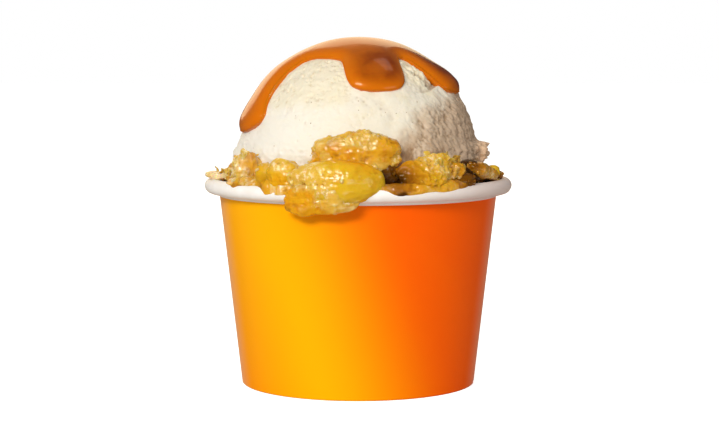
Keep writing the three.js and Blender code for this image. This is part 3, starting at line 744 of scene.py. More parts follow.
def wet_food(name, pale, deep, syrup, clear, ripple, coat):
    """Food in syrup: its two colours, amber under syrup, crumbs where they cling, under a wet coat, with a
    painted rim light at its edges and painted shade where its shade mark says.
    """
    material, tree = new_material(name)
    relief, amber, shade, loose = (mark(tree, label) for label in ("relief", "amber", "shade", "crumbly"))
    own = use_group(
        tree, "mottle", Pale=rgba(pale), Deep=rgba(deep), Patches_per_metre=150.0, Start=0.42, End=0.7
    )
    film = use_group(
        tree, "mottle", Pale=rgba(syrup), Deep=rgba(syrup, 0.92, 0.76, 0.5), Patches_per_metre=320.0,
        Start=0.45, End=0.68,
    )
    crumbs = use_group(tree, "crumb", Relief=relief, Grains_per_metre=1000.0)
    crumbly = spread(tree, loose, 0.15, 0.85, 0.0, 0.9)
    wet = blend(tree, amber, own["Colour"], film["Colour"])
    # Darker brown in the deepest folds, partly syrup pooled there and partly painted shade.
    folded = blend(tree, spread(tree, relief, 0.05, 0.38), (0.40, 0.145, 0.001, 1), wet)
    bare = reckon(tree, "MULTIPLY_ADD", amber, -0.4, relief)
    frosted = blend(tree, spread(tree, bare, 0.6, 0.95, 0.0, 0.7), folded, (0.86, 0.69, 0.34, 1))
    mixed = blend(tree, crumbly, frosted, crumbs["Colour"])
    # Painted light: paler and more golden where the surface is seen edge on.
    painted_rim_light = blend(tree, spread(tree, facing(tree), 0.72, 1.0, 0.0, 0.45), mixed, (0.92, 0.66, 0.20, 1))
    # Painted shade: the shade mark turns the colour brown and then nearly black, and thins the wet coat.
    brown = blend(tree, spread(tree, shade, 0, 0.6), painted_rim_light, (0.42, 0.15, 0.003, 1))
    grain = use_group(tree, "grain", Grains_per_metre=480.0, Height=0.0007, Strength=0.5)
    gloss = use_group(tree, "grain", Grains_per_metre=900.0, Height=0.0005, Strength=ripple, Fineness=1.5)
    return look(
        material, Base_Color=blend(tree, spread(tree, shade, 0.35, 1), brown, (0.05, 0.015, 0.001, 1)),
        Normal=grain["Normal"], Roughness=spread(tree, crumbly, 0, 1, 0.18, 0.35), Specular_IOR_Level=0.2,
        Specular_Tint=(1.0, 0.7, 0.3, 1), Coat_Normal=gloss["Normal"],
        Coat_Weight=spread(tree, shade, 0.3, 1, coat, 0.35), Coat_IOR=1.65,
        Coat_Roughness=spread(tree, crumbly, 0, 1, 0.07, 0.13), Subsurface_Weight=clear,
        Subsurface_Radius=(1.0, 0.5, 0.06), Subsurface_Scale=0.0018,
    )


# The finishes made so far
MADE = {}


def material_for(context, key):
    """Makes each finish once, from the colours in the panel."""
    c = context.scene.cobbler_finish
    makers = {
        "print": (printed_paper, c.print_painted_light, c.print_plain, c.print_painted_shade),
        "paper": (plain_paper, c.paper_colour),
        "ice": (ice_cream, c.ice_colour, c.ice_shade),
        "caramel": (caramel, c.caramel_thin, c.caramel_thick),
        "fruit": (wet_food, "Cooked fruit", c.fruit_pale, c.fruit_deep, c.syrup_colour, 0.5, 0.4, 0.5),
        "crust": (wet_food, "Soaked crust", c.crust_pale, c.crust_toasted, c.syrup_colour, 0.4, 1.0, 1.0),
    }
    if key not in MADE:
        make, *values = makers[key]
        MADE[key] = make(*values)
    return MADE[key]


# Panel properties

def paint(name, description, default):
    """A colour in the panel."""
    return FloatVectorProperty(
        name=name, description=description, default=default, size=3, min=0, max=1, subtype="COLOR"
    )


def span(name, description, default):
    """A length in the panel, in metres."""
    return FloatProperty(name=name, description=description, default=default, unit="LENGTH")


def whole(name, description, default, least):
    """A whole number in the panel."""
    return IntProperty(name=name, description=description, default=default, min=least)


def watts(name, description, default):
    """A light's power in the panel."""
    return FloatProperty(name=name, description=description, default=default, unit="POWER")


class CobblerFinish(bpy.types.PropertyGroup):
    # Painted light: the yellower print where the light falls.
    print_painted_light: paint("Warm print", "Yellowish glow of the print on one side", (1.0, 0.47, 0.0))
    print_plain: paint("Plain print", "Orange of the print beside the glow", (1.0, 0.27, 0.0))
    # Painted shade: the deeper orange print on the shaded side.
    print_painted_shade: paint("Deep print", "Orange on the darker side of the tub's wall", (1.0, 0.115, 0.0))
    paper_colour: paint("Paper", "Bare paper of the rim, the inside and the base", (0.97, 0.94, 0.91))
    ice_colour: paint("Ice cream", "Main colour of the ice cream", (0.845, 0.785, 0.65))
    ice_shade: paint("Ice cream patches", "Colour of its creamier patches", (0.80, 0.70, 0.47))
    caramel_thin: paint("Thin caramel", "Caramel at its edges", (0.66, 0.155, 0.001))
    caramel_thick: paint("Thick caramel", "Caramel at full thickness", (0.18, 0.021, 0.001))
    fruit_pale: paint("Pale fruit", "Clear flesh of the cooked fruit", (0.74, 0.46, 0.02))
    fruit_deep: paint("Deep fruit", "Darker flesh of the cooked fruit", (0.60, 0.31, 0.008))
    crust_pale: paint("Pale crust", "Lightest baked crust", (0.78, 0.47, 0.06))
    crust_toasted: paint("Toasted crust", "Brownest baked crust", (0.46, 0.18, 0.010))
    syrup_colour: paint("Syrup", "Colour of the syrup", (0.79, 0.38, 0.005))


class CobblerTub(bpy.types.PropertyGroup):
    print_top: span("Print height", "Height of the print's upper edge", 0.0582)
    seam_bearing: FloatProperty(
        name="Seam bearing", description="Bearing of the wall's glued seam, from the front to the right",
        default=math.radians(80), unit="ROTATION",
    )
    seam_step: span("Seam step", "Height of the paper's edge at the seam", 0.0004)
    sides: whole("Sides", "Facets round the tub", 320, 48)


class CobblerFood(bpy.types.PropertyGroup):
    scoop_columns: whole("Scoop columns", "Points round the ice cream", 632, 60)
    scoop_rows: whole("Scoop rows", "Points down the bare ice cream", 142, 30)
    sauce_columns: whole("Sauce columns", "Points round the sauce", 900, 90)
    grain_spacing: span("Point spacing", "Distance between points on the apple and crust", 0.00022)
    crumbs: whole("Crumbs", "Loose crumbs round the pieces", 700, 0)


class CobblerStage(bpy.types.PropertyGroup):
    key: watts("Key light", "Power of the window light on the left", 12.0)
    back: watts("Back light", "Power of the soft light behind", 2.6)
    top: watts("Top light", "Power of the small light above", 0.14)
    low: watts("Low light", "Power of the weak light low on the right", 0.75)
    fill: FloatProperty(name="Surroundings", description="Brightness of the white room", default=0.42)


# The tub

def roll_face(steps, offset, start, end):
    """Part of the rim's roll in profile: an ellipse round its middle, from one angle to another."""
    level = TUB_HEIGHT - ROLL_HEIGHT / 2
    width = (RIM_RADIUS - wall_radius(level) + PAPER) / 2
    turn = np.radians(np.linspace(start, end, steps + 1))
    radius = RIM_RADIUS - width + (width + offset) * np.cos(turn)
    return np.stack([radius, level + (ROLL_HEIGHT / 2 + offset) * np.sin(turn)], axis=-1)


def turned_ring(profile, sides, shift=None):
    """A closed profile of radius and height carried round the axis; shift adds to the radius."""
    bearing = np.linspace(0, 360, sides, endpoint=False)
    radius = np.repeat(profile[:, :1], sides, axis=1)
    if shift is not None:
        radius = radius + shift(bearing, profile)
    return round_axis(bearing, radius, profile[:, 1:])


class COBBLER_OT_tub(bpy.types.Operator):
    """Makes the paper tub: its wall with the rolled rim, print and seam, and its recessed base"""

    bl_idname = "cobbler.tub"
    bl_label = "Paper Tub"

    def execute(self, context):
        tub = context.scene.cobbler_tub
        print_top = tub.print_top / MM
        sides = tub.sides
        level = TUB_HEIGHT - ROLL_HEIGHT / 2
        fold = FOOT_RADIUS - 3 * PAPER - 2 * PAPER_GAP
        heights = np.concatenate([[0.0, 0.25], np.linspace(0.6, print_top, 24), [print_top + 0.02, level]])
        outside = np.stack([wall_radius(heights), heights], axis=-1)
        outside[0, 0] -= 0.25
        under_roll = roll_face(20, -PAPER, 180, 180 - ROLL_TURN)[1:]
        over_roll = roll_face(44, 0, 180 - ROLL_TURN, 180)
        down = np.linspace(over_roll[-1, 1], PAPER, 12)[1:]
        inside = np.stack([wall_radius(down) - PAPER, down], axis=-1)
        turn_in = fold + PAPER
        foot = np.array([
            [turn_in, PAPER],
            [turn_in + WALL_TAPER * FOLD_HEIGHT, FOLD_HEIGHT],
            [fold + WALL_TAPER * FOLD_HEIGHT, FOLD_HEIGHT],
            [fold, 0.25],
            [fold + 0.25, 0.0],
        ])
        profile = np.concatenate([outside, under_roll, over_roll, inside, foot])
        seam = math.degrees(tub.seam_bearing)
        step = tub.seam_step / MM
        rows = np.arange(len(profile))
        on_face = rows < len(outside)
        first_roll = len(outside) + len(under_roll)
        on_roll = (rows >= first_roll) & (rows < first_roll + len(over_roll) - 8)

        def seam_shift(bearing, _):
            past = turn_between(bearing, seam)
            overlap = smooth((past + 0.6) / 1.0) * (1 - smooth((past - 1) / 10))
            weight = np.where(on_face, 1.0, np.where(on_roll, 0.35, 0.0))
            return step * weight[:, None] * -overlap[None, :]

        points = turned_ring(profile, sides, seam_shift)
        faces = tube_faces(len(profile), sides)
        row_of = np.repeat(np.arange(len(profile)), sides)
        top_row = int(np.argmin(np.abs(profile[: len(outside), 1] - print_top)))
        paper = np.where(row_of < top_row, 0, 1)
        finish_mesh(
            context, "paper_wall", points.reshape(-1, 3), faces[:, ::-1].tolist(), ["tub_wall"],
            ["print", "paper"], paper,
        )
        skirt = lambda z: wall_radius(z) - PAPER - PAPER_GAP
        low = PAPER + PAPER_GAP
        top = RECESS + PAPER
        disc = np.array([
            [28.0, RECESS], [skirt(RECESS) - PAPER - 0.6, RECESS], [skirt(RECESS) - PAPER, RECESS - 0.6],
            [skirt(low) - PAPER, low], [skirt(low), low], [skirt(top - 0.3), top - 0.3],
            [skirt(top) - 0.3, top], [28.0, top],
        ])
        rings = turned_ring(disc, sides)
        points, faces = ball_mesh(rings, (0, 0, RECESS), (0, 0, top))
        faces = [face[::-1] for face in faces]
        finish_mesh(context, "paper_base", points, faces, ["tub_base"], ["paper"])
        return {"FINISHED"}


# The food

class COBBLER_OT_bed(bpy.types.Operator):
    """Makes the cobbler that fills the tub, with a lumpy soaked top"""

    bl_idname = "cobbler.bed"
    bl_label = "Cobbler Filling"

    def execute(self, context):
        columns = BED_COLUMNS
        bearing = np.linspace(0, 360, columns, endpoint=False)
        foot = RECESS + PAPER + GAP
        inner = lambda z: wall_radius(z) - PAPER - GAP
        reach = np.concatenate([np.linspace(0.05, 0.78, 12), np.linspace(0.8, 0.995, 40)])
        flat = round_axis(bearing, inner(BED_TOP) * reach[:, None], BED_TOP)
        bumpy = smooth((reach - 0.78) / 0.06)[:, None]
        lumps = 0.5 * swell(flat, 3.2, 20.5) + 0.5 * crags(flat, 3.0, 101, 3) + 0.25
        sunk = 1 - smooth((reach - 0.74) / 0.07)[:, None]
        height = BED_TOP + bumpy * lumps - sunk * (BED_TOP - SCOOP_BOTTOM + GAP)
        top = xyz(flat[..., 0], flat[..., 1], height)
        low = np.array([60.2, 58.0, 50.0, 35.0, 20.0, foot + 0.4])
        side = turned_ring(np.stack([inner(low), low], axis=-1), columns)
        under = turned_ring(np.array([[inner(foot) - 0.6, foot], [20.0, foot]]), columns)
        rings = np.concatenate([top, side, under])
        relief = np.full(rings.shape[:2], 0.5)
        relief[: len(reach)] = np.clip(0.2 + 0.35 * (height - BED_TOP), 0, 1)
        points, faces = ball_mesh(rings, (0, 0, SCOOP_BOTTOM - GAP), (0, 0, foot))
        # Painted shade: the whole filling is darkened as if in shade between the pieces, and browner where
        # it lies lower.
        finish_mesh(
            context, "cobbler_filling", points, faces, ["cobbler_bed"], ["crust"],
            marks={
                "relief": np.append(relief, [0.3, 0.3]), "shade": np.full(relief.size + 2, 0.4),
                "amber": np.full(relief.size + 2, 0.6), "crumbly": np.full(relief.size + 2, 0.4),
            },
        )
        return {"FINISHED"}


class COBBLER_OT_scoop(bpy.types.Operator):
    """Makes the ball of ice cream with its torn, porous and icy surface"""

    bl_idname = "cobbler.scoop"
    bl_label = "Ice Cream"

    def execute(self, context):
        food = context.scene.cobbler_food
        bearing = np.linspace(0, 360, food.scoop_columns, endpoint=False)
        under_sauce, under_food = np.linspace(89, 64, 7), np.linspace(-7.5, SCOOP_FOOT, 6)
        elevation = np.concatenate([under_sauce, np.linspace(62, -6, food.scoop_rows), under_food])
        b, e = np.meshgrid(bearing, elevation)
        fine = scoop_skin(b, e)
        rings = from_scoop(b, e, fine)
        foot = rings[-1:]
        inward = np.concatenate([foot * (0.9, 0.9, 1), foot * (0.7, 0.7, 1)])
        inward[..., 2] = [[SCOOP_BOTTOM + 0.3], [SCOOP_BOTTOM]]
        rings = np.concatenate([rings, inward])
        wide = scoop_radius(b, e)
        full = 0.75 + 0.3 * torn(b, e) * (b > 180) - 0.45 * icy(b, e)
        # How deep each point sits below the smooth ball, for the painted shade in pits and craters.
        hollow = np.clip((wide - fine - 0.05) / full, 0, 1)
        melted = toward(b, 29, 15) * hump((e - 6) / 6) + 0.6 * smooth((3 - e) / 4)
        patches = smooth(2 * layers(rings[:-2], 3, 87, 3) + 0.5)
        marks = {
            "stain": np.clip(melted * patches, 0, 0.85), "hollow": hollow, "icy": icy(b, e),
            "torn": torn(b, e),
        }
        hidden = np.zeros(2 * food.scoop_columns + 2)
        marks = {label: np.append(values, hidden) for label, values in marks.items()}
        points, faces = ball_mesh(rings, from_scoop(0, 90, scoop_skin(0.0, 90.0)), (0, 0, SCOOP_BOTTOM))
        finish_mesh(
            context, "vanilla_ball", points, faces, ["ice_cream_scoop"], ["ice"], marks=marks
        )
        return {"FINISHED"}


class COBBLER_OT_sauce(bpy.types.Operator):
    """Makes the caramel sauce: a cap with round-edged drips that lies on the ice cream"""

    bl_idname = "cobbler.sauce"
    bl_label = "Caramel Sauce"

    def execute(self, context):
        columns = context.scene.cobbler_food.sauce_columns
        track = np.linspace(0, 360, 4 * columns, endpoint=False)
        shore = from_scoop(track, sauce_outline(track), SCOOP_RADIUS)
        stride = np.linalg.norm(np.roll(shore, -1, axis=0) - shore, axis=-1)
        walked = np.concatenate([[0], np.cumsum(stride)])
        wanted = np.linspace(0, walked[-1], columns, endpoint=False)
        bearing = np.interp(wanted, walked, np.append(track, 360))
        low = sauce_outline(bearing)
        edge = from_scoop(bearing, low, SCOOP_RADIUS)
        runs = ((0.03, 0.55, 14), (0.58, 0.9, 18), (0.91, 1, 26))
        share = np.concatenate([np.linspace(*run) for run in runs])
        elevation = 90 - (90 - low)[None, :] * share[:, None]
        b = np.repeat(bearing[None, :], len(share), axis=0)
        spot = from_scoop(b, elevation, SCOOP_RADIUS)
        shore_gap = np.full(b.shape, 99.0)
        for k in range(0, columns, 2):
            gap = np.sum((spot - edge[k]) ** 2, axis=-1)
            shore_gap = np.minimum(shore_gap, gap)
        inward = np.clip(np.sqrt(shore_gap) / SAUCE_EDGE, 0, 1)
        rise = np.sqrt(1 - (1 - inward) ** 2)
        bulb = sum(d[4] * toward(b, d[0], 14) * hump((elevation - d[2] - 8) / 9) for d in SAUCE_DRIPS)
        thick = 0.15 + (SAUCE_THICKNESS + GAP - 0.15 + bulb) * rise
        pull = smooth((elevation - 18) / 38) * (1 - smooth((elevation - 58) / 10))
        inner_side = toward(b, -60, 13)
        b = b - 8.5 * inner_side * pull + 5 * inner_side * hump((elevation - 23) / 7)
        under = scoop_radius(b, elevation)
        uneven = 1 + 0.10 * swell(from_scoop(b, elevation, SCOOP_RADIUS), 6, 8.8)
        outer = from_scoop(b, elevation, under + thick * uneven)
        inner = from_scoop(b[::-1][::4], elevation[::-1][::4], under[::-1][::4] - 0.9)
        rings = np.concatenate([outer, inner])
        middle = toward(b, 26, 34) + toward(b, 190, 50)
        deep = (0.65 * rise + 0.35 * inward**1.5) * (0.37 + 0.62 * middle * hump((elevation - 52) / 15))
        deep = np.maximum(deep, rise * toward(b, 84, 30))
        depth = np.concatenate([deep.ravel(), np.zeros(inner.shape[0] * columns), [0.8, 0.8]])
        top = from_scoop(0, 90, scoop_radius(0.0, 90.0) + SAUCE_THICKNESS + GAP)
        points, faces = ball_mesh(rings, top, from_scoop(0, 90, SCOOP_RADIUS - 1.2))
        finish_mesh(
            context, "caramel_cap", points, faces, ["caramel_sauce"], ["caramel"],
            marks={"depth": np.clip(depth, 0, 1)},
        )
        return {"FINISHED"}


def crumb_relief(spot, seed):
    """Crumbs of two sizes that stand out of a smooth film: domes round scattered spots, from 0 to 1."""
    coarse = smooth(1.3 - 1.5 * pits(spot, 1.9, seed))
    fine = smooth(1.25 - 1.5 * pits(spot, 0.8, seed + 5))
    return 0.4 * coarse + 0.3 * fine + 0.3 * smooth(0.5 + 0.9 * layers(spot, 1.3, seed + 8, 3))


def lump_shape(lump, spacing):
    """A rounded block with knobs, slimmer and bent at its ends, swollen by slow waves and finely rough."""
    half = np.array(lump.half, dtype=float)
    around = int(np.clip(2 * math.pi * max(half[1], half[2]) / spacing, 48, 260))
    along = int(np.clip(math.pi * half[0] / spacing, 36, 200))
    tip = np.linspace(0, math.pi, along + 2)[1:-1]
    turn = np.linspace(0, 2 * math.pi, around, endpoint=False)
    a, t = np.meshgrid(tip, turn, indexing="ij")
    rings = xyz(np.cos(a), np.sin(a) * np.cos(t), np.sin(a) * np.sin(t))
    ends = np.array([[1.0, 0, 0], [-1.0, 0, 0]])
    unit = np.concatenate([rings.reshape(-1, 3), ends])

    def near(toward, wide, strong=1):
        direction = np.array(toward) / np.linalg.norm(toward)
        return strong * hump(np.arccos(np.clip(unit @ direction, -1, 1)) / wide)

    reach = np.sum(np.abs(unit) ** lump.square, axis=-1) ** (-1 / lump.square)
    knob = 1 + sum(high * near(toward, wide) for toward, high, wide in lump.knobs)
    spot = unit * (reach * knob)[:, None]
    slim = 1 - LUMP_TAPER * np.minimum(1, spot[:, 0] ** 2)
    along_x = spot[:, 0].copy()
    spot = spot * half
    spot[:, 1:] *= slim[:, None]
    spot *= (1 + lump.rough * swell(spot, lump.grain, lump.seed))[:, None]
    seed = int(lump.seed * 10)
    crumbs = crumb_relief(spot, seed)
    waves = layers(spot * (0.75, 1, 1), 4.2, seed + 20, 4)
    ridge = crags(spot, 2.6, seed + 30, 3)
    fibre = layers(spot * (0.3, 1, 1), 1.2, seed + 40, 3)
    fine_grain = layers(spot, 0.7, seed + 50, 2)
    patch = smooth(2 * layers(spot, 4.5, seed + 9, 2) + 0.4)
    amber = np.clip(sum(near(*where) for where in lump.amber), 0, 1)
    if lump.kind == "crust":
        crumbly = (1 - amber) * patch
        amber = np.clip(amber + 0.85 * smooth(-2 * waves + 0.5), 0, 1)
    else:
        crumbly = np.clip(1.5 * sum(near(*where) for where in lump.crumbly), 0, 1) * (0.4 + 0.6 * patch)
        amber = np.clip(amber + 0.5 * smooth(-2.5 * waves), 0, 1)
    flesh = 0.5 + 0.4 * fibre + 0.35 * waves + (0.15 * ridge if lump.kind == "crust" else 0)
    grit = 0.3 * waves + 0.65 * crumbs + 0.25 * fine_grain
    relief = flesh * (1 - crumbly) + crumbly * (0.15 + grit)
    gritty = crumbly * (0.3 * ridge + 0.5 * crumbs + 0.25 * fine_grain - 0.3)
    fine = 1.0 * waves + 0.2 * fibre + gritty
    if lump.kind == "crust":
        fine = fine + 0.35 * ridge - 0.15
    else:
        fine = fine - 0.6 * waves + 0.05 * fibre - 0.4 * gritty
    fine = fine + lump.craggy * (crags(spot, 3.4, seed + 60, 3) - 0.3)
    painted_shade_spots = np.clip(sum(near(*where) for where in lump.painted_shade_spots), 0, 1)
    shrink = min(1, float(half.min()) / 3)
    spot *= (1 + shrink * fine / np.linalg.norm(spot, axis=-1))[:, None]
    spot[:, 1] += lump.curl * along_x**2
    relief = np.clip(relief + lump.cream, 0, 1)
    return spot, {"relief": relief, "amber": amber, "crumbly": crumbly, "painted_shade_spots": painted_shade_spots}, (len(tip), around)


def turning(degrees, axis):
    """The matrix that turns points about one of the three axes."""
    cosine, sine = math.cos(math.radians(degrees)), math.sin(math.radians(degrees))
    a, b = (axis + 1) % 3, (axis + 2) % 3
    matrix = np.eye(3)
    matrix[a, a], matrix[b, b], matrix[a, b], matrix[b, a] = cosine, cosine, -sine, sine
    return matrix


def lump_place(lump, spot):
    """Turns a lump by its own tilt and lean and then carries it to its bearing, distance and height."""
    turned = spot @ (turning(-lump.tilt, 1) @ turning(lump.lean, 0)).T
    return (turned + (0, -lump.out, lump.height)) @ turning(lump.bearing, 2).T


# Each piece's placed points, their painted shade and its number of flakes, for the crumbs and flakes
SURFACES = []


def make_lumps(context, kind):
    """Makes every piece of one kind of food."""
    for lump in LUMPS:
        if lump.kind != kind:
            continue
        spot, marks, (rows, columns) = lump_shape(lump, context.scene.cobbler_food.grain_spacing / MM)
        placed = lump_place(lump, spot)
        # Painted shade: each piece's own shade and dark spots, and more low down and towards the middle,
        # partly where syrup soaks and partly where shade falls.
        low = smooth((66 - placed[:, 2]) / 4) * smooth((45.8 - np.hypot(placed[:, 0], placed[:, 1])) / 3)
        marks["shade"] = np.clip(lump.shade + 0.65 * low + marks.pop("painted_shade_spots"), 0, 1)
        SURFACES.append((placed, marks["shade"], lump.flakes))
        rings = placed[:-2].reshape(rows, columns, 3)
        points, faces = ball_mesh(rings, placed[-2], placed[-1])
        finish_mesh(
            context, "baked_" + lump.node, points, [f[::-1] for f in faces], [lump.node],
            [kind], marks=marks,
        )


def syrup_reach(bearing):
    """How far the syrup has run out over the rim, from 0 to 1, by bearing."""
    wander = 0.14 * swell(from_scoop(bearing, 0, 45), 2.0, 31.7)
    flow = sum(amount * within(bearing, middle, half, fade) for middle, half, amount, fade in SYRUP_RUNS)
    return np.clip(flow + wander, 0, 1.05)


def pool_top(bearing, radius):
    """Height of the pool of syrup, lumpy and banked up against the scoop."""
    spot = round_axis(bearing, radius, 0)
    crumbly = smooth(2 * cloud(spot, 5, 227) + 0.6)
    lumps = 0.5 * layers(spot, 3.4, 211, 3) + 0.6 * crumb_relief(spot, 223) * crumbly
    left = within(bearing, -54, 32, 10)
    right = within(bearing, 38, 20, 8)
    bank = (1.9 * left + 2.4 * right) * hump((radius - 42) / 2.6)
    height = POOL_HEIGHT + 1.4 * syrup_reach(bearing) + 2.2 * smooth((41.5 - radius) / 3.5) + bank + lumps
    return height


class COBBLER_OT_syrup(bpy.types.Operator):
    """Makes the syrup that stands between the pieces and runs over the rim"""

    bl_idname = "cobbler.syrup"
    bl_label = "Syrup"

    def execute(self, context):
        bearing = np.linspace(0, 360, SYRUP_COLUMNS, endpoint=False)
        b, radius = np.meshgrid(bearing, np.linspace(POOL_INNER, POOL_OUTER, 26))
        top = pool_top(b, radius)
        pool = round_axis(b, radius, top)
        down = np.concatenate([np.linspace(0.04, 0.9, 20), 1 - 0.1 * np.linspace(0.9, 0, 8) ** 1.5])
        b, t = np.meshgrid(bearing, down)
        level = TUB_HEIGHT - ROLL_HEIGHT / 2
        width = (RIM_RADIUS - wall_radius(level) + PAPER) / 2
        turn = np.radians(150 - 152 * syrup_reach(b) * t)
        spot = from_scoop(b, 0, 45) + t[..., None] * (0, 0, 9)
        start = np.clip(top[-1] - level - ROLL_HEIGHT / 4, 0.1, 3)
        ripples = layers(spot, 3.0, 231, 3)
        thick = start + (0.45 + 0.75 * ripples - start) * smooth(t)
        thick = (thick + 0.2) * np.sqrt(1 - t**4) - 0.2
        out = RIM_RADIUS - width + (width + thick) * np.cos(turn)
        film = round_axis(b, out, level + (ROLL_HEIGHT / 2 + thick) * np.sin(turn))
        last = film[-1]
        under = [
            round_axis(bearing, np.hypot(last[:, 0], last[:, 1]) - 0.8, last[:, 2] - 0.2),
            round_axis(bearing, POOL_OUTER - 0.6, POOL_FLOOR),
            round_axis(bearing, POOL_INNER + 0.5, POOL_FLOOR),
        ]
        rings = np.concatenate([pool, film, under])
        points, faces = rings.reshape(-1, 3), tube_faces(*rings.shape[:2])
        patch = smooth(2 * cloud(points * (1, 1, 0), 4, 227) + 0.7)
        grit = crumb_relief(points * (1, 1, 0), 223)
        # Painted shade: darker low down and towards the middle, and in the cavities at two bearings; the
        # streaks are the syrup's own uneven tone.
        hollow = smooth((65 - points[:, 2]) / 3) * smooth((45 - np.hypot(points[:, 0], points[:, 1])) / 2)
        around = np.degrees(np.arctan2(points[:, 0], -points[:, 1]))
        painted_cavity_shade = 0.55 * hump((around - 14) / 6) + 0.3 * hump((around - 48) / 8)
        streaks_and_painted_shade = 0.4 * smooth(3.5 * layers(points, 4.4, 237, 4) - 0.1) + painted_cavity_shade
        finish_mesh(
            context, "amber_syrup", points, faces.tolist(), [], ["crust"],
            marks={
                "relief": np.clip(0.5 + 0.9 * layers(points, 2.6, 241, 4) + 0.3 * grit * patch, 0, 1),
                "amber": np.full(len(points), 0.7), "crumbly": 0.9 * grit * patch,
                "shade": np.clip(0.6 * hollow + streaks_and_painted_shade, 0, 1),
            },
        )
        return {"FINISHED"}


class COBBLER_OT_crumbs(bpy.types.Operator):
    """Makes the loose crumbs that lie on and between the pieces"""

    bl_idname = "cobbler.crumbs"
    bl_label = "Crumbs"

    def execute(self, context):
        count = context.scene.cobbler_food.crumbs
        dice = np.random.default_rng(7)
        turn = np.radians(np.linspace(0, 360, CRUMB_SIDES, endpoint=False))
        tip = np.radians(np.array([52, 18, -18, -52]))
        t, e = np.meshgrid(turn, tip)
        ball = xyz(np.cos(e) * np.sin(t), -np.cos(e) * np.cos(t), np.sin(e))
        points, faces = ball_mesh(ball, (0, 0, 1), (0, 0, -1))
        # Crumbs take the painted shade of the place where they lie, and those in the pool a fixed painted
        # shade.
        every, shades = [], []
        for surface, shade, _ in SURFACES:
            high = surface[:, 2] > 63.6
            pick = dice.integers(0, high.sum(), CRUMBS_ON_PIECE)
            every.append(surface[high][pick])
            shades.append(shade[high][pick])
        bearing = dice.uniform(0, 360, CRUMBS_IN_SYRUP)
        radius = dice.uniform(38.5, 43.0, CRUMBS_IN_SYRUP)
        every.append(round_axis(bearing, radius, pool_top(bearing, radius)))
        shades.append(np.full(CRUMBS_IN_SYRUP, 0.25))
        places, shades = np.concatenate(every), np.concatenate(shades)
        chosen = dice.choice(len(places), min(count, len(places)), replace=False)
        places, shades = places[chosen], shades[chosen]
        size = dice.uniform(0.3, 0.95, len(chosen)) ** 1.3
        stretch = dice.uniform(0.55, 1.25, (len(chosen), 1, 3))
        uneven = dice.uniform(0.72, 1.2, (len(chosen), len(points), 1))
        frames = np.linalg.qr(dice.normal(size=(len(chosen), 3, 3)))[0]
        frames[np.linalg.det(frames) < 0, :, 0] *= -1
        shapes = points[None] * stretch * uneven * size[:, None, None]
        bodies = np.einsum("nij,nvj->nvi", frames, shapes) + places[:, None]
        all_faces = many_faces(faces, len(points), len(chosen))
        relief = np.repeat(dice.uniform(0.2, 0.75, len(chosen)), len(points))
        finish_mesh(
            context, "loose_crumbs", bodies.reshape(-1, 3), all_faces, [], ["crust"],
            marks={
                "relief": relief, "shade": np.repeat(shades, len(points)),
                "amber": np.repeat(dice.uniform(0.2, 1, len(chosen)), len(points)),
                "crumbly": np.repeat(dice.uniform(0.2, 0.9, len(chosen)), len(points)),
            },
        )
        return {"FINISHED"}


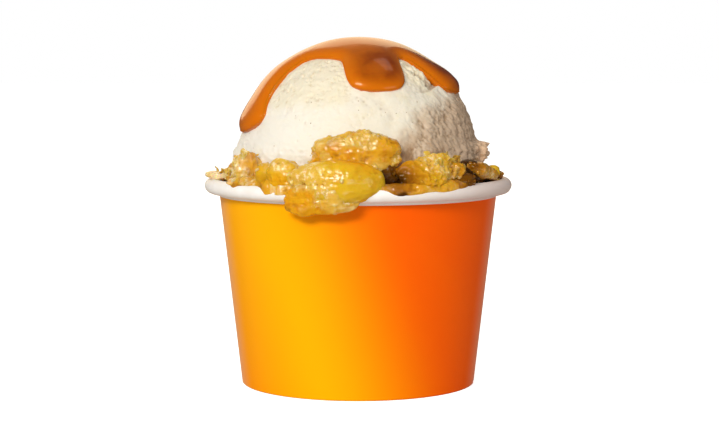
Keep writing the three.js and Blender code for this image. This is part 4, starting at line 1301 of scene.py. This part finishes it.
class COBBLER_OT_flakes(bpy.types.Operator):
    """Makes the thin ragged flakes that stand up along the crests of the crust"""

    bl_idname = "cobbler.flakes"
    bl_label = "Flakes"

    def execute(self, context):
        """Each flake is a cupped disc: noise draws its edge in and out, and its two faces meet in it."""
        dice = np.random.default_rng(11)
        roots, shades = [], []
        for surface, shade, flakes in SURFACES:
            if flakes:
                crest = surface[:, 2] + 0.3 * surface[:, 0]
                high = crest > np.quantile(crest, 0.86)
                pick = dice.integers(0, high.sum(), flakes)
                roots.append(surface[high][pick])
                shades.append(shade[high][pick])
        roots, shades = np.concatenate(roots), np.concatenate(shades)
        count = len(roots)
        turn = np.linspace(0, 2 * math.pi, FLAKE_SIDES, endpoint=False)
        share = np.array([0.25, 0.5, 0.75, 0.92, 1.0])
        share = np.concatenate([share, share[-2::-1]])
        face = np.concatenate([np.ones(5), -np.ones(4)])[:, None] * np.sqrt(1.02 - share**2)[:, None]
        ring = xyz(np.cos(turn), np.sin(turn), 0 * turn)
        moved = ring[None] * 1.3 + 9.0 * np.arange(count)[:, None, None]
        edge = 0.78 + 0.42 * layers(moved, 0.8, 301, 2)
        wide = dice.uniform(1.1, 2.4, (count, 1, 1))
        x = wide * share[None, :, None] * (edge * np.cos(turn))[:, None]
        slim = wide * dice.uniform(0.5, 0.9, (count, 1, 1))
        y = slim * share[None, :, None] * (edge * np.sin(turn))[:, None]
        cup = dice.uniform(-0.25, 0.25, (count, 1, 1)) * x**2 + dice.uniform(-0.2, 0.2, (count, 1, 1)) * y**2
        shapes = xyz(x, y, cup + 0.13 * face[None])
        tops = xyz(0, 0, 0.14) * np.array([1, -1])[:, None] + np.zeros((count, 1, 1))
        shapes = np.concatenate([shapes.reshape(count, -1, 3), tops], axis=1)
        out = roots * (1, 1, 0) / np.hypot(roots[:, 0], roots[:, 1])[:, None]
        normal = out + (0, 0, 0.1) + dice.normal(0, 0.42, (count, 3))
        normal /= np.linalg.norm(normal, axis=1)[:, None]
        side = np.cross(dice.normal(0, 0.5, (count, 3)) + (0, 0, 1), normal)
        side /= np.linalg.norm(side, axis=1)[:, None]
        frames = np.stack([side, np.cross(normal, side), normal], axis=-1)
        bodies = np.einsum("nij,nvj->nvi", frames, shapes) + roots[:, None] + (0, 0, 0.3)
        _, faces = ball_mesh(ring[None] * share[:, None, None], (0, 0, 1), (0, 0, -1))
        size = bodies.shape[1]
        all_faces = many_faces(faces, size, count)
        across = np.append(np.tile(0.25 * (share - 0.6)[:, None], FLAKE_SIDES).ravel(), [-0.1, -0.1])
        tone = dice.uniform(0.3, 0.65, (count, 1)) + across
        # Flakes take the painted shade of their roots, scaled down a little and raised a little.
        finish_mesh(
            context, "loose_flakes", bodies.reshape(-1, 3), all_faces, [], ["crust"],
            marks={
                "relief": np.clip(tone, 0, 1), "shade": np.repeat(shades * 0.8 + 0.06, size),
                "amber": np.repeat(dice.uniform(0, 0.5, count), size),
                "crumbly": np.repeat(dice.uniform(0.7, 1, count), size),
            },
        )
        return {"FINISHED"}


class COBBLER_OT_fruit(bpy.types.Operator):
    """Makes the pieces of cooked fruit"""

    bl_idname = "cobbler.fruit"
    bl_label = "Cooked Fruit"

    def execute(self, context):
        make_lumps(context, "fruit")
        return {"FINISHED"}


class COBBLER_OT_crust(bpy.types.Operator):
    """Makes the pieces of soaked and toasted crust"""

    bl_idname = "cobbler.crust"
    bl_label = "Crust"

    def execute(self, context):
        make_lumps(context, "crust")
        return {"FINISHED"}


# The stage

class COBBLER_OT_stage(bpy.types.Operator):
    """Makes the pale floor, the soft lights and the camera"""

    bl_idname = "cobbler.stage"
    bl_label = "Stage"

    def execute(self, context):
        scene = context.scene
        stage = scene.cobbler_stage
        mesh = bpy.data.meshes.new("pale_floor")
        corners = [(FLOOR_HALF * x, FLOOR_HALF * y, 0) for x, y in ((-1, -1), (1, -1), (1, 1), (-1, 1))]
        mesh.from_pydata(corners, [], [(0, 1, 2, 3)])
        floor = bpy.data.objects.new("pale_floor", mesh)
        scene.collection.objects.link(floor)
        material, tree = new_material("Pale floor")
        lit = add(
            tree, "BsdfPrincipled", Base_Color=(0.95, 0.95, 0.95, 1), Roughness=0.9, Specular_IOR_Level=0.0,
            Emission_Color=(1, 1, 1, 1), Emission_Strength=0.75,
        )
        dim = add(tree, "BsdfDiffuse", Color=(0.66, 0.65, 0.64, 1))
        by_ray(tree, "OutputMaterial", lit, add(tree, "BsdfDiffuse", Color=(0.16, 0.12, 0.08, 1)), dim)
        mesh.materials.append(material)
        lights = (
            ("window_light", (-0.43, -1.09, 0.62), stage.key, (0.52, 0.26), (1.0, 0.985, 0.95)),
            ("back_light", (-0.2, 0.85, 0.45), stage.back, (0.84, 0.62), (1.0, 0.74, 0.44)),
            ("low_light", (0.75, -0.65, 0.10), stage.low, (0.5, 0.25), (1.0, 0.95, 0.9)),
            ("top_light", (0.27, 0.26, 0.95), stage.top, (0.24, 0.16), (1.0, 0.85, 0.75)),
        )
        for name, place, power, size, colour in lights:
            data = bpy.data.lights.new(name, "AREA")
            data.shape = "RECTANGLE"
            data.energy = power
            data.size, data.size_y = size
            data.color = colour
            lamp = bpy.data.objects.new(name, data)
            lamp.location = place
            aim = np.array(LIGHT_AIM) - np.array(place)
            flat = math.hypot(aim[0], aim[1])
            lamp.rotation_euler = (math.atan2(flat, -aim[2]), 0, math.atan2(aim[1], aim[0]) - math.pi / 2)
            scene.collection.objects.link(lamp)
        world = bpy.data.worlds.new("White room")
        world.use_nodes = True
        tree = world.node_tree
        tree.nodes.clear()
        seen = add(tree, "Background", Color=(1, 1, 1, 1), Strength=1.0)
        mirrored = add(tree, "Background", Color=(1, 1, 1, 1), Strength=0.06)
        by_ray(tree, "OutputWorld", seen, mirrored, add(tree, "Background", Color=ROOM, Strength=stage.fill))
        scene.world = world
        eye = bpy.data.cameras.new("camera")
        eye.sensor_width, eye.lens, eye.shift_x = SENSOR_WIDTH, LENS, LENS_SHIFT
        camera = bpy.data.objects.new("camera", eye)
        camera.location = CAMERA_PLACE
        camera.rotation_euler = (math.radians(90) - CAMERA_DIP, 0, 0)
        scene.collection.objects.link(camera)
        scene.camera = camera
        scene.view_settings.view_transform = "Standard"
        return {"FINISHED"}


class COBBLER_PT_panel(bpy.types.Panel):
    bl_idname = "COBBLER_PT_panel"
    bl_label = "Cobbler Tub"
    bl_space_type = "VIEW_3D"
    bl_region_type = "UI"
    bl_category = "Cobbler"

    def draw(self, context):
        for operator in OPERATORS:
            self.layout.operator(operator.bl_idname)
        for name in SETTINGS:
            group = getattr(context.scene, name)
            box = self.layout.box()
            for key in group.__annotations__:
                box.prop(group, key)


SETTINGS = {
    "cobbler_finish": CobblerFinish,
    "cobbler_tub": CobblerTub,
    "cobbler_food": CobblerFood,
    "cobbler_stage": CobblerStage,
}
OPERATORS = (
    COBBLER_OT_tub,
    COBBLER_OT_bed,
    COBBLER_OT_scoop,
    COBBLER_OT_sauce,
    COBBLER_OT_fruit,
    COBBLER_OT_crust,
    COBBLER_OT_syrup,
    COBBLER_OT_crumbs,
    COBBLER_OT_flakes,
    COBBLER_OT_stage,
)


def register():
    for item in (*SETTINGS.values(), *OPERATORS, COBBLER_PT_panel):
        bpy.utils.register_class(item)
    for name, group in SETTINGS.items():
        setattr(bpy.types.Scene, name, PointerProperty(type=group))


def unregister():
    for name in SETTINGS:
        delattr(bpy.types.Scene, name)
    for item in (COBBLER_PT_panel, *reversed(OPERATORS), *SETTINGS.values()):
        bpy.utils.unregister_class(item)


def main():
    register()
    bpy.ops.cobbler.tub()
    bpy.ops.cobbler.bed()
    bpy.ops.cobbler.scoop()
    bpy.ops.cobbler.sauce()
    bpy.ops.cobbler.fruit()
    bpy.ops.cobbler.crust()
    bpy.ops.cobbler.syrup()
    bpy.ops.cobbler.crumbs()
    bpy.ops.cobbler.flakes()
    bpy.ops.cobbler.stage()


if __name__ == "__main__":
    main()
